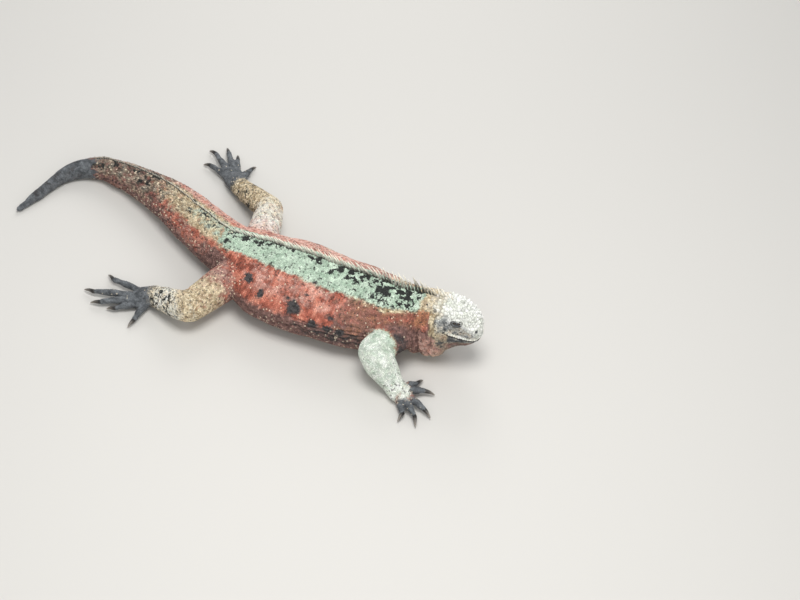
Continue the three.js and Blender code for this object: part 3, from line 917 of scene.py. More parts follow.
# The turn of each wrinkle along the body, where it starts and ends, and its depth
WRINKLES = (
    (70, 6.6, 8.2, 1.2), (79, 6.8, 9.4, 1.9), (87, 6.9, 9.2, 2.1), (95, 7.0, 9.8, 1.8),
    (103, 7.4, 10.0, 1.6), (80, 11.6, 12.5, 1.3), (94, 10.6, 12.3, 1.2), (50, 5.9, 7.0, -1.3),
)


def creases(t: Array, low: Array, points: Array) -> tuple[Array, Array]:
    """The folds and wrinkles of neck, flanks and groin.

    Args:
        t: places along the spine.
        low: turns from the ridge in degrees, the same on both sides.
        points: the places themselves.

    Returns:
        How far the skin stands out there, and from 0 to 1 how deep in a crease it is, for the painted shade
        in the creases.
    """
    wander = 0.09 * Waves(22, SEED + 2).at(points)
    push, dark = np.zeros(len(t)), np.zeros(len(t))
    for fold in FOLDS:
        middle = fold.at + fold.slant * (low - fold.turns[0]) + wander
        gap = (t - middle) * STATION_MM / fold.width
        reach = band(low, fold.turns[0], fold.turns[1], 14)
        crease = reach * hump(gap, 0, 1)
        push += reach * 0.45 * fold.depth * hump(gap, 2.2, 1.4) - fold.depth * crease
        dark = np.maximum(dark, crease)
    for turned, start, end, depth in WRINKLES:
        crease = np.exp(-(((low - turned - 34 * wander) / 2.4) ** 2)) * band(t, start, end, 0.5)
        push -= depth * crease
        dark = np.maximum(dark, crease * np.sign(depth))
    return push, dark


# Where lengths meet, and how far round there the skin is smoothed into a fillet
JOINT_SPOTS: tuple[tuple[Triple, float], ...] = (
    ((160, -45, 43), 27), ((140, -74, 42), 22), ((133, 42, 26), 26), ((104, 62, 17), 20),
    ((-78, -48, 36), 34), ((-100, -110, 31), 23), ((-78, 48, 38), 34), ((-101, 99, 33), 22),
    ((188, -92, 12), 13), ((157, 72, 10), 12), ((-172, -108, 12), 14), ((-183, 152, 12), 14),
)
SKIN_ROUNDS, FILLET_ROUNDS, HEAD_ROUNDS = 3, 14, 2  # of smoothing
HEAD_SIDES = (-45.0, 60.0)  # y of the head's right and left limit
# The head's faces are halved twice: from x on and above z, the second time near its features
FINER = ((196.0, 0.0, False), (211.0, 40.0, True))
FINE_SPOTS = ((EYE, 11.0), (EAR, 7.5), (NOSTRIL, 5.0))
FINE_MOUTH = 6.0
FACING = 0.3  # how far the skin under a seat has to face the same way


def add_object(name: str, data: bpy.types.ID | None) -> bpy.types.Object:
    """A new object in the scene."""
    made = bpy.data.objects.new(name, data)
    bpy.context.collection.objects.link(made)
    return made


def take_mesh(name: str, bm: BMesh) -> Mesh:
    """A new mesh from an editing mesh, which is freed.

    Args:
        name: the new mesh's name.
        bm: the editing mesh.

    Returns:
        The new mesh.
    """
    mesh = bpy.data.meshes.new(name)
    bm.to_mesh(mesh)
    bm.free()
    return mesh


def values_of(items: bpy.types.bpy_prop_collection, key: str, width: int, kind: type = float) -> Array:
    """One property of all items, with a row of numbers for each."""
    flat = np.empty(len(items) * width, kind)
    items.foreach_get(key, flat)
    return flat.reshape(-1, width)


LAYERS = (*(mask.value for mask in Mask), "seat", "way", "chance", "apex")


def add_layers(mesh: Mesh, layers: dict[str, Array]) -> None:
    """Keeps numbers or vectors on each point of a mesh, for its material to read.

    Beside the masks they are seat, the place on the skin in metres at which patterns are read;
    way, how far along and round its length that place is; chance, a number from 0 to 1 that
    is the same over one scale; and apex, how high up its scale the point is.

    Args:
        mesh: the mesh.
        layers: the values of all points, by name.
    """
    for name, values in layers.items():
        kind, key = ("FLOAT", "value") if values.ndim == 1 else ("FLOAT_VECTOR", "vector")
        layer = mesh.attributes.new(name, kind, "POINT")
        layer.data.foreach_set(key, values.astype(np.float32).ravel())


class Hide:
    """The one skin of the animal, with its folds, lids, lips and markings."""

    def __init__(self, lofts: list[Loft]) -> None:
        """Builds the skin mesh.

        Args:
            lofts: every length of flesh.
        """
        self.lofts = lofts
        mesh = self.cast()
        self.refine(mesh)
        self.read(mesh)
        self.part, self.t, self.turn = self.assign(self.points)
        self.sculpt()
        self.masks = self.paint()
        self.store(mesh)
        self.piece = add_object("skin", mesh)
        self.tree = BVHTree.FromPolygons(self.points.tolist(), [p.vertices[:] for p in mesh.polygons])
        self.corners = [np.array(p.vertices[:]) for p in mesh.polygons]

    def cast(self) -> Mesh:
        """Runs all lengths together into one closed surface.

        Returns:
            The mesh.
        """
        bm = bmesh.new()
        fineness = {Part.BODY: (72, 190), Part.DIGIT: (16, 24)}
        for loft in self.lofts:
            sides, rings = fineness.get(loft.part, (32, 36))
            kept = SHRINKAGE if loft.part in (Part.DIGIT, Part.PALM) else 0.0
            loft.fill(bm, sides, rings, kept - COAT_DEPTH)
        bmesh.ops.recalc_face_normals(bm, faces=bm.faces[:])
        mesh = take_mesh("cast", bm)
        rough = add_object("cast", mesh)
        melt = rough.modifiers.new("melt", "REMESH")
        melt.mode = "VOXEL"
        melt.voxel_size = VOXEL * MM
        bpy.context.view_layer.update()
        seen = rough.evaluated_get(bpy.context.evaluated_depsgraph_get())
        whole = bpy.data.meshes.new_from_object(seen)
        bpy.data.objects.remove(rough)
        bpy.data.meshes.remove(mesh)
        whole.name = "skin"
        return whole

    def refine(self, mesh: Mesh) -> None:
        """Relaxes the joints into fillets and gives the head finer faces.

        Args:
            mesh: the skin as it was run together.
        """
        bm = bmesh.new()
        bm.from_mesh(mesh)
        self.relax(bm, bm.verts[:], SKIN_ROUNDS)
        for centre, reach in JOINT_SPOTS:
            middle = Vector(centre) * MM
            near = [v for v in bm.verts if (v.co - middle).length < reach * MM]
            self.relax(bm, near, FILLET_ROUNDS)
        right, left = HEAD_SIDES
        for start, low, near_features in FINER:
            bm.verts.index_update()
            spots = np.array([v.co[:] for v in bm.verts]) / MM
            chosen = (spots[:, 0] > start) & (spots[:, 2] > low)
            chosen &= (spots[:, 1] > right) & (spots[:, 1] < left)
            if near_features:
                chosen &= self.detailed(spots)
            fine = [e for e in bm.edges if all(chosen[v.index] for v in e.verts)]
            bmesh.ops.subdivide_edges(bm, edges=fine, cuts=1, use_grid_fill=True, smooth=0.0)
            head = [v for v in bm.verts if v.co.x > start * MM and right * MM < v.co.y < left * MM]
            self.relax(bm, head, HEAD_ROUNDS)
        bmesh.ops.recalc_face_normals(bm, faces=bm.faces[:])
        bm.to_mesh(mesh)
        bm.free()

    @staticmethod
    def detailed(points: Array) -> Array:
        """Which places are near the lips, lids, ears or nostrils, where the finest faces are."""
        spots = [(feature_seat(f, sign).at[0], reach) for f, reach in FINE_SPOTS for sign in SIDES]
        near = [np.linalg.norm(points - spot, axis=1) < reach for spot, reach in spots]
        return np.any([np.abs(mouth_offset(points)) < FINE_MOUTH, *near], axis=0)

    @staticmethod
    def relax(bm: BMesh, verts: list[bmesh.types.BMVert], rounds: int) -> None:
        """Smooths some of the points, a number of times."""
        axes = {f"use_axis_{axis}": True for axis in "xyz"}
        for _ in range(rounds):
            bmesh.ops.smooth_vert(bm, verts=verts, factor=0.5, **axes)

    def read(self, mesh: Mesh) -> None:
        """Takes the points, normals and edges of the mesh.

        Args:
            mesh: the refined skin.
        """
        self.points = values_of(mesh.vertices, "co", 3) / MM
        self.normals = values_of(mesh.vertices, "normal", 3)
        self.edges = values_of(mesh.edges, "vertices", 2, int)
        self.degree = np.bincount(self.edges.ravel(), minlength=len(self.points)).astype(float)

    def soften(self, values: Array, rounds: int) -> Array:
        """Averages values with their neighbours', a number of times.

        Args:
            values: one number for each point.
            rounds: how many times.

        Returns:
            The softened numbers.
        """
        a, b = self.edges.T
        for _ in range(rounds):
            total = np.bincount(a, values[b], len(values)) + np.bincount(b, values[a], len(values))
            values = (values + total / self.degree) / 2
        return values

    def assign(self, points: Array) -> tuple[Array, Array, Array]:
        """Finds the length of flesh that each point is on, and where on it.

        Args:
            points: places on the skin.

        Returns:
            The index of the length, the place along it and the turn.
        """
        best = np.full(len(points), 1e9)
        part = np.zeros(len(points), int)
        t, turn = np.zeros(len(points)), np.zeros(len(points))
        for k, loft in enumerate(self.lofts):
            low, high = loft.box(4)
            inside = np.flatnonzero(np.all((points > low) & (points < high), axis=1))
            if len(inside) == 0:
                continue
            there, how, off = loft.locate(points[inside])
            closer = np.abs(off) < best[inside]
            chosen = inside[closer]
            best[chosen] = np.abs(off)[closer]
            part[chosen], t[chosen], turn[chosen] = k, there[closer], how[closer]
        return part, t, turn

    def sculpt(self) -> None:
        """Moves the points for brows, lids, nostrils, mouth, folds and muscles."""
        on_body = self.part == 0
        push = 0.5 * Waves(28, SEED).at(self.points) + 0.25 * Waves(9, SEED + 1).at(self.points)
        push[on_body] += self.body_relief(self.t[on_body], self.turn[on_body], self.points[on_body])
        digits = np.array([loft.part is Part.DIGIT for loft in self.lofts])[self.part]
        push[digits] += 0.3 * np.cos(self.t[digits] * 2 * np.pi)  # knuckles
        self.points = self.points + self.normals * push[:, None]
        self.open_eyes()
        self.points[:, 2] = np.maximum(self.points[:, 2], FLOOR_CLEAR)

    def open_eyes(self) -> None:
        """Wraps the lids round both eyeballs and parts them."""
        for sign in SIDES:
            seat = feature_seat(EYE, sign)
            gap = self.points - (seat.at[0] - seat.out[0] * EYE_SUNK)
            across, forth = gap @ seat.around[0], gap @ seat.along[0]
            side = np.hypot(across, forth)
            near = np.flatnonzero((gap @ seat.out[0] > 0) & (side < 12))
            gap, across, forth, side = gap[near], across[near], forth[near], side[near]
            # In half widths of the slit: 1 is the edge of a lid, and all beyond its ends is shut
            parted = SLIT[0] * np.maximum(1 - (forth / SLIT[1]) ** 2, 0.02)
            shut = np.where(np.abs(forth) < SLIT[1] * 1.3, np.abs(across) / parted, 9.0)
            # The edge is a low rim, and between the lids the skin sinks in behind the eyeball's face
            radius = LID_RADIUS + 0.35 * hump(shut, 1.35, 0.3)
            radius = radius + (EYE_RADIUS - 1.4 - radius) * rise(shut, 1.12, 0.88)
            lid = unit(gap) * radius[:, None]
            # The lids run out into the head between 6 and 9 mm, in a crease
            weight = rise(side, 9.0, 6.0)[:, None]
            crease = 0.9 * hump(side, 8.3, 0.9)[:, None]
            self.points[near] += (lid - gap) * weight - unit(gap) * crease

    def body_relief(self, t: Array, turn: Array, points: Array) -> Array:
        """How far the skin of head, trunk and tail stands out of the plain form.

        Args:
            t: places along the spine.
            turn: turns from the ridge in radians.
            points: the places themselves.

        Returns:
            The height at each place.
        """
        low = np.abs(np.degrees(turn))
        push, _ = creases(t, low, points)
        rings = rise(t, 13.5, 15) * rise(t, 19.2, 18.8)
        push += 0.28 * rings * np.cos(t * 2 * np.pi * 8)
        push += 0.22 * rise(t, 19.3, 19.6) * np.cos(t * 2 * np.pi * 11)
        push += self.head_relief(points) * rise(t, 4.4, 3.8)
        return push

    def head_relief(self, points: Array) -> Array:
        """How far brows, cheeks, ears, nostrils and lips stand out of the plain head.

        Args:
            points: places on the head.

        Returns:
            The height at each place.
        """
        push = np.zeros(len(points))
        for sign in SIDES:
            for bump in (BROW, CHEEK):
                push += bump.height * hump(feature_distance(points, bump, sign), 0, 1)
            ear = feature_distance(points, EAR, sign)
            push += EAR.height * rise(ear, 1.15, 0.8) + 0.5 * hump(ear, 1.3, 0.25)
            nostril = feature_distance(points, NOSTRIL, sign)
            push += NOSTRIL.height * rise(nostril, 1.15, 0.7)
            push += 0.9 * hump(nostril, 1.6, 0.5)
        off = mouth_offset(points)
        reach = rise(points[:, 0], MOUTH_CORNER - 2, MOUTH_CORNER + 5)
        return push + (0.75 * hump(np.abs(off), 2.4, 1.5) - 1.9 * hump(off, 0, 0.75)) * reach

    def paint(self) -> Masks:
        """Works out the masks, softened where one length runs into another.

        Returns:
            Every mask on every point.
        """
        markings = Markings()
        masks = {mask: np.zeros(len(self.points)) for mask in Mask}
        for k, loft in enumerate(self.lofts):
            here = np.flatnonzero(self.part == k)
            if len(here) == 0:
                continue
            if loft.part is Part.BODY:
                found = markings.body(self.t[here], self.turn[here], self.points[here])
            else:
                found = markings.leg(loft, self.t[here])
            for mask, values in found.items():
                masks[mask][here] = np.clip(values, 0, 1)
        seam = np.zeros(len(self.points))
        joining = self.part[self.edges[:, 0]] != self.part[self.edges[:, 1]]
        seam[self.edges[joining].ravel()] = 1
        seam = np.clip(self.soften(seam, 40) * 7, 0, 1) * (self.points[:, 0] < MOUTH_CORNER - 20)
        for mask in Mask:
            masks[mask] += (self.soften(masks[mask], 50) - masks[mask]) * seam
            masks[mask] = self.soften(masks[mask], 1)
        return masks

    def store(self, mesh: Mesh) -> None:
        """Writes the points and what the material reads back to the mesh.

        Args:
            mesh: the skin.
        """
        mesh.vertices.foreach_set("co", (self.points * MM).ravel())
        count = len(self.points)
        way = np.zeros((count, 3))
        for k, loft in enumerate(self.lofts):
            here = self.part == k
            way[here] = loft.way(self.t[here], self.turn[here])
        layers = {mask.value: np.clip(values, 0, 1) for mask, values in self.masks.items()}
        layers |= {"seat": self.points * MM, "way": way}
        layers |= {"chance": np.full(count, 0.5), "apex": np.zeros(count)}
        add_layers(mesh, layers)
        mesh.shade_smooth()
        mesh.update()

    def snap(self, seats: Seats, reach: float) -> tuple[Seats, Masks]:
        """Sets seats down on the skin.

        Args:
            seats: places on the plain lengths.
            reach: how far the skin may be; a seat further off is dropped.

        Returns:
            The seats that lie on the skin, and the masks there.
        """
        kept, at, out, faces = [], [], [], []
        for k, p in enumerate(seats.at):
            spot, normal, face, _ = self.tree.find_nearest(Vector(p), reach)
            if spot is None or normal.dot(Vector(seats.out[k])) < FACING:
                continue
            kept.append(k)
            at.append(spot)
            out.append(normal)
            faces.append(face)
        chosen = seats.pick(np.array(kept, int))
        chosen.at = np.array(at).reshape(-1, 3)
        chosen.out = unit(unit(np.array(out).reshape(-1, 3)) + 0.5 * chosen.out)
        chosen.along = unit(chosen.along - chosen.out * np.sum(chosen.along * chosen.out, axis=1)[:, None])
        chosen.around = np.cross(chosen.out, chosen.along)
        first, third = (np.array([self.corners[f][k] for f in faces], int) for k in (0, 2))
        return chosen, {mask: (v[first] + v[third]) / 2 for mask, v in self.masks.items()}


# Scales


@dataclass
class Mould:
    """One small closed shape, cast hundreds of times: x runs back, y round and z out."""

    points: Array
    faces: list[tuple[int, ...]]
    apex: Array

    @classmethod
    def from_bmesh(cls, bm: BMesh) -> "Mould":
        """Takes the shape from a mesh and frees it.

        Args:
            bm: the closed mesh, with its root at height 0.

        Returns:
            The mould.
        """
        bmesh.ops.recalc_face_normals(bm, faces=bm.faces[:])
        bm.verts.index_update()
        points = np.array([v.co[:] for v in bm.verts])
        faces = [tuple(v.index for v in f.verts) for f in bm.faces]
        bm.free()
        top = points[:, 2].max()
        return cls(points, faces, np.clip(points[:, 2] / top, 0, 1))


@lru_cache
def scale_mould(keel: float, shoulder: float) -> Mould:
    """A low scale with six corners: a rim sunk in the skin, a shoulder and a peak.

    Args:
        keel: how far back the peak is drawn, in half lengths.
        shoulder: the size of the shoulder as a part of the rim.

    Returns:
        A shape of half length 1 that stands 1 above the skin and 0.45 below it.
    """
    bm = bmesh.new()
    sunk, level = 0.45, 0.55
    bmesh.ops.create_cone(
        bm, cap_ends=True, segments=6, radius1=1.0, radius2=shoulder, depth=sunk + level
    )
    bmesh.ops.translate(bm, verts=bm.verts[:], vec=(0, 0, (level - sunk) / 2))
    lid = max(bm.faces, key=lambda f: f.calc_center_median().z)
    peak = bmesh.ops.poke(bm, faces=[lid])["verts"][0]
    for v in bm.verts:
        if v.co.z > 0:
            v.co.x += keel * 0.45
    peak.co = (keel, 0, 1.0)
    return Mould.from_bmesh(bm)


def cone_mould(sides: int, levels: tuple[tuple[float, float], ...]) -> Mould:
    """A blunt cone built up ring by ring, for tubercles and spines.

    Args:
        sides: corners round it.
        levels: height and half width of each ring from the root up; the last is the tip.

    Returns:
        The shape, upright, with its root below zero.
    """
    bm = bmesh.new()
    height, radius = levels[0]
    bmesh.ops.create_circle(bm, cap_ends=True, segments=sides, radius=radius)
    bmesh.ops.translate(bm, verts=bm.verts[:], vec=(0, 0, height))
    cap = bm.faces[:]
    for step, (level, wide) in enumerate(levels[1:]):
        raised = bmesh.ops.extrude_face_region(bm, geom=cap)["geom"]
        if step > 0:
            bmesh.ops.delete(bm, geom=cap, context="FACES_ONLY")
        ring = [g for g in raised if isinstance(g, bmesh.types.BMVert)]
        cap = [g for g in raised if isinstance(g, bmesh.types.BMFace)]
        bmesh.ops.scale(bm, verts=ring, vec=(wide / radius, wide / radius, 1))
        bmesh.ops.translate(bm, verts=ring, vec=(0, 0, level - height))
        height, radius = level, wide
    return Mould.from_bmesh(bm)


@dataclass(frozen=True)
class Pattern:
    """The size and shape of the scales of one region."""

    pitch: float
    height: float
    keel: float = 0.25
    shoulder: float = 0.72
    stretch: float = 1.0


PATCH = 0.003  # across a scale's patch on the unwrap


@dataclass
class Casting:
    """Scales of one sort on one stretch, ready to be joined with others into a piece.

    long, wide and tall are the sizes of each scale, bend and sway how its tip leans back,
    curls and leans aside, and chart is where the stretch lies on the unwrap.
    """

    seats: Seats
    masks: Masks
    mould: Mould
    long: Array
    wide: Array
    tall: Array
    chart: Chart
    loft: Loft
    bend: Array | None = None
    sway: Array | None = None

    def points(self) -> Array:
        """Places the mould at every seat.

        Returns:
            The points in millimetres, one set for each scale.
        """
        seats, mould = self.seats, self.mould.points
        local = np.broadcast_to(mould, (len(seats), *mould.shape)).copy()
        if self.bend is not None:
            high = np.maximum(local[:, :, 2], 0)
            local[:, :, 0] += self.bend[:, :1] * high + self.bend[:, 1:] * high**2
            local[:, :, 1] += self.sway[:, None] * high
        xyz = seats.at[:, None, :]
        sizes = ((seats.along, self.long), (seats.around, self.wide), (seats.out, self.tall))
        for k, (way, size) in enumerate(sizes):
            xyz = xyz + local[:, :, k:k + 1] * (way * size[:, None])[:, None, :]
        xyz[:, :, 2] = np.maximum(xyz[:, :, 2], 0.0)
        return xyz

    def unwrap(self) -> Array:
        """Lays each scale on a small patch of the unwrap, at its own place.

        Returns:
            The place of every point on the unwrap, one set for each scale.
        """
        left, right, bottom, top = self.chart
        root = np.stack([
            left + (right - left) * (self.seats.turn / (2 * np.pi) + 0.5),
            bottom + (top - bottom) * self.seats.t / self.loft.last,
        ], axis=1)
        flat = self.mould.points[:, :2]
        spread = flat / np.abs(flat).max() * PATCH / 2
        return np.clip(root, PATCH, 1 - PATCH)[:, None, :] + spread[None]


ROW_STEPS, RING_STEPS = 900, 361  # at which a length is measured, along and round it
STAGGER = 0.87  # of the spacing: rows whose scales stagger lie that much closer


def rows(loft: Loft, start: float, end: float, pattern: Pattern) -> Iterator[tuple[float, Array, float]]:
    """Staggered rows round a length.

    Args:
        loft: the length.
        start: where the first row is.
        end: where the last row may be.
        pattern: the spacing of the scales, and how much further apart the rows are.

    Yields:
        The place of the row, the turns of its scales and their spacing.
    """
    pitch = pattern.pitch
    steps = np.linspace(start, end, ROW_STEPS)
    track = [loft.point(steps, np.full(ROW_STEPS, a)) for a in (0.0, 1.6, -1.6, 3.1)]
    pace = np.mean([np.linalg.norm(np.diff(p, axis=0), axis=1) for p in track], axis=0)
    count = np.concatenate([[0], np.cumsum(pace / (pitch * (STAGGER * pattern.stretch)))])
    turns = np.linspace(-np.pi, np.pi, RING_STEPS)
    for k in range(int(count[-1]) + 1):
        t = float(np.interp(k, count, steps))
        walked = travel(loft.point(np.full(RING_STEPS, t), turns))
        number = max(4, round(walked[-1] / pitch))
        wanted = (np.arange(number) + (k % 2) / 2) / number * walked[-1]
        yield t, np.interp(wanted, walked, turns), walked[-1] / number


class Coat:
    """Every scale, spine and tubercle, as joined meshes on the hide."""

    JITTER = 0.12  # of the spacing, by which scales are off their rows
    ROOM = 0.62  # of the spacing, that lies between the middles of two scales at least
    HALF = 0.58  # of the spacing, the half length of a scale
    REACH = 3.6  # how far the skin may be from the plain length

    def __init__(self, hide: Hide) -> None:
        """Starts with no scales and no place taken.

        Args:
            hide: the skin that the scales stand on.
        """
        self.hide = hide
        self.draw = np.random.default_rng(SEED)
        self.taken = np.zeros((0, 3))
        self.pieces: list[bpy.types.Object] = []

    def free(self, points: Array, space: float) -> Array:
        """Which points are further than a space off every place already taken."""
        tree = finder(self.taken)
        return np.array([tree.find(p)[2] > space for p in points], bool)

    def settle(self, seats: Seats, reach: float) -> tuple[Seats, Masks]:
        """Sets seats down on the skin and takes their places.

        Args:
            seats: places near the skin.
            reach: how far the skin may be.

        Returns:
            The seats that lie on the skin, and the masks there.
        """
        found, masks = self.hide.snap(seats, reach)
        self.taken = np.concatenate([self.taken, found.at])
        return found, masks

    def lay(
        self, loft: Loft, start: float, end: float, pattern: Pattern, chart: Chart,
        keep: Callable[[Seats], Array] | None = None,
    ) -> Casting:
        """Lays rows of scales on a stretch of a length.

        Args:
            loft: the length.
            start: the place where the rows start.
            end: the place where they end.
            pattern: the size and shape of the scales.
            chart: where the stretch lies on the unwrap.
            keep: says which seats bear a scale, or None for all.

        Returns:
            The scales.
        """
        places, turns, spaces = [], [], []
        for t, around, space in rows(loft, start, end, pattern):
            places.append(np.full(len(around), t))
            turns.append(around)
            spaces.append(np.full(len(around), space))
        t, turn, space = (np.concatenate(a) for a in (places, turns, spaces))
        jitter = self.draw.normal(size=(len(t), 2)) * self.JITTER
        speed = np.maximum(loft.speed(t, 0.05), 4)
        t = np.clip(t + jitter[:, 0] * pattern.pitch / speed, 0.004, loft.last - 0.004)
        turn = turn + jitter[:, 1] * space / np.maximum(loft.value("wide", t) * loft.swell(t), 3)
        seats = loft.seats(t, turn, -COAT_DEPTH)
        if keep is not None:
            seats = seats.pick(keep(seats))
        snapped, masks = self.hide.snap(seats, self.REACH)
        room = self.free(snapped.at, pattern.pitch * self.ROOM)
        snapped = snapped.pick(room)
        self.taken = np.concatenate([self.taken, snapped.at])
        size = pattern.pitch * self.HALF * (1 + 0.12 * self.draw.normal(size=len(snapped)))
        tall = pattern.height * (1 + 0.2 * self.draw.normal(size=len(snapped)))
        return Casting(
            snapped, {mask: values[room] for mask, values in masks.items()},
            scale_mould(pattern.keel, pattern.shoulder), size * pattern.stretch, size, tall, chart, loft,
        )

    def cast(self, name: str, castings: list[Casting], slot: str) -> None:
        """Joins castings into one piece.

        Args:
            name: the piece's name.
            castings: what it is made of.
            slot: the name of a material slot; not used.
        """
        points, loops, starts, uvs = [], [], [], []
        layers: dict[str, list[Array]] = {name: [] for name in LAYERS}
        base_point = base_loop = 0
        for c in castings:
            n, m = len(c.seats), len(c.mould.points)
            if n == 0:
                continue
            points.append(c.points().reshape(-1, 3))
            corner = np.concatenate([np.array(f) for f in c.mould.faces])
            sizes = np.array([len(f) for f in c.mould.faces])
            first = np.concatenate([[0], np.cumsum(sizes)[:-1]])
            shift = np.arange(n)[:, None]
            loops.append((corner[None] + shift * m + base_point).ravel())
            starts.append((first[None] + shift * len(corner) + base_loop).ravel())
            uvs.append(c.unwrap()[:, corner].reshape(-1, 2))
            for mask, values in c.masks.items():
                layers[mask.value].append(np.repeat(np.clip(values, 0, 1), m))
            layers["seat"].append(np.repeat(c.seats.at * MM, m, axis=0))
            layers["way"].append(np.repeat(c.loft.way(c.seats.t, c.seats.turn), m, axis=0))
            layers["chance"].append(np.repeat(self.draw.random(n), m))
            layers["apex"].append(np.tile(c.mould.apex, n))
            base_point += n * m
            base_loop += n * len(corner)
        mesh = bpy.data.meshes.new(name)
        mesh.vertices.add(base_point)
        mesh.loops.add(base_loop)
        all_starts = np.concatenate(starts)
        mesh.polygons.add(len(all_starts))
        mesh.vertices.foreach_set("co", (np.concatenate(points) * MM).ravel())
        mesh.loops.foreach_set("vertex_index", np.concatenate(loops).astype(np.int32))
        mesh.polygons.foreach_set("loop_start", all_starts.astype(np.int32))
        mesh.update(calc_edges=True)
        unwrap = mesh.uv_layers.new(name="OFBake")
        unwrap.data.foreach_set("uv", np.concatenate(uvs).astype(np.float32).ravel())
        add_layers(mesh, {key: np.concatenate(values) for key, values in layers.items()})
        mesh.shade_smooth()
        piece = add_object(name, mesh)
        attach(piece, ROOT)
        self.pieces.append(piece)
        LOG.info("%s: %d shapes", name, sum(len(c.seats) for c in castings))


def stretch_chart(start: float, end: float) -> Chart:
    """A chart on which one stretch of the body fills the unwrap from bottom to top."""
    bottom = -start / (end - start)
    return 0.0, 1.0, bottom, bottom + SPINE.last / (end - start)


# How many half sizes of each feature small scales and tubercles keep off
SCALES_OFF = ((ORBIT, 1.0), (EAR, 1.05), (NOSTRIL, 1.5))
TUBERCLES_OFF = ((ORBIT, 1.25), (EAR, 1.7), (NOSTRIL, 2.2))
LIP_ROWS = (2.4, -2.3)  # height of the rows over the mouth line
HEAD_MIDDLE = (205, 9)  # x and y that the rows run round
LIP_NEAR = 0.25  # how near to that height a plate sits
LID_RINGS = ((1.3, 22), (1.85, 26), (2.45, 32))  # half widths of the eye, and granules
# The height and the half width of each ring of a shape, from the root up
TUBERCLE = ((-0.35, 1.0), (0.05, 1.0), (0.26, 0.84), (0.52, 0.55), (0.8, 0.26), (1.0, 0.06))
LIP_PLATE = ((-0.5, 1.0), (0.3, 1.0), (0.75, 0.84), (1.0, 0.5))
SPINE_LEVELS = (
    (-0.14, 1.1), (0.0, 1.05), (0.1, 0.92), (0.26, 0.82), (0.45, 0.7), (0.64, 0.55),
    (0.8, 0.38), (0.92, 0.2), (1.0, 0.05),
)


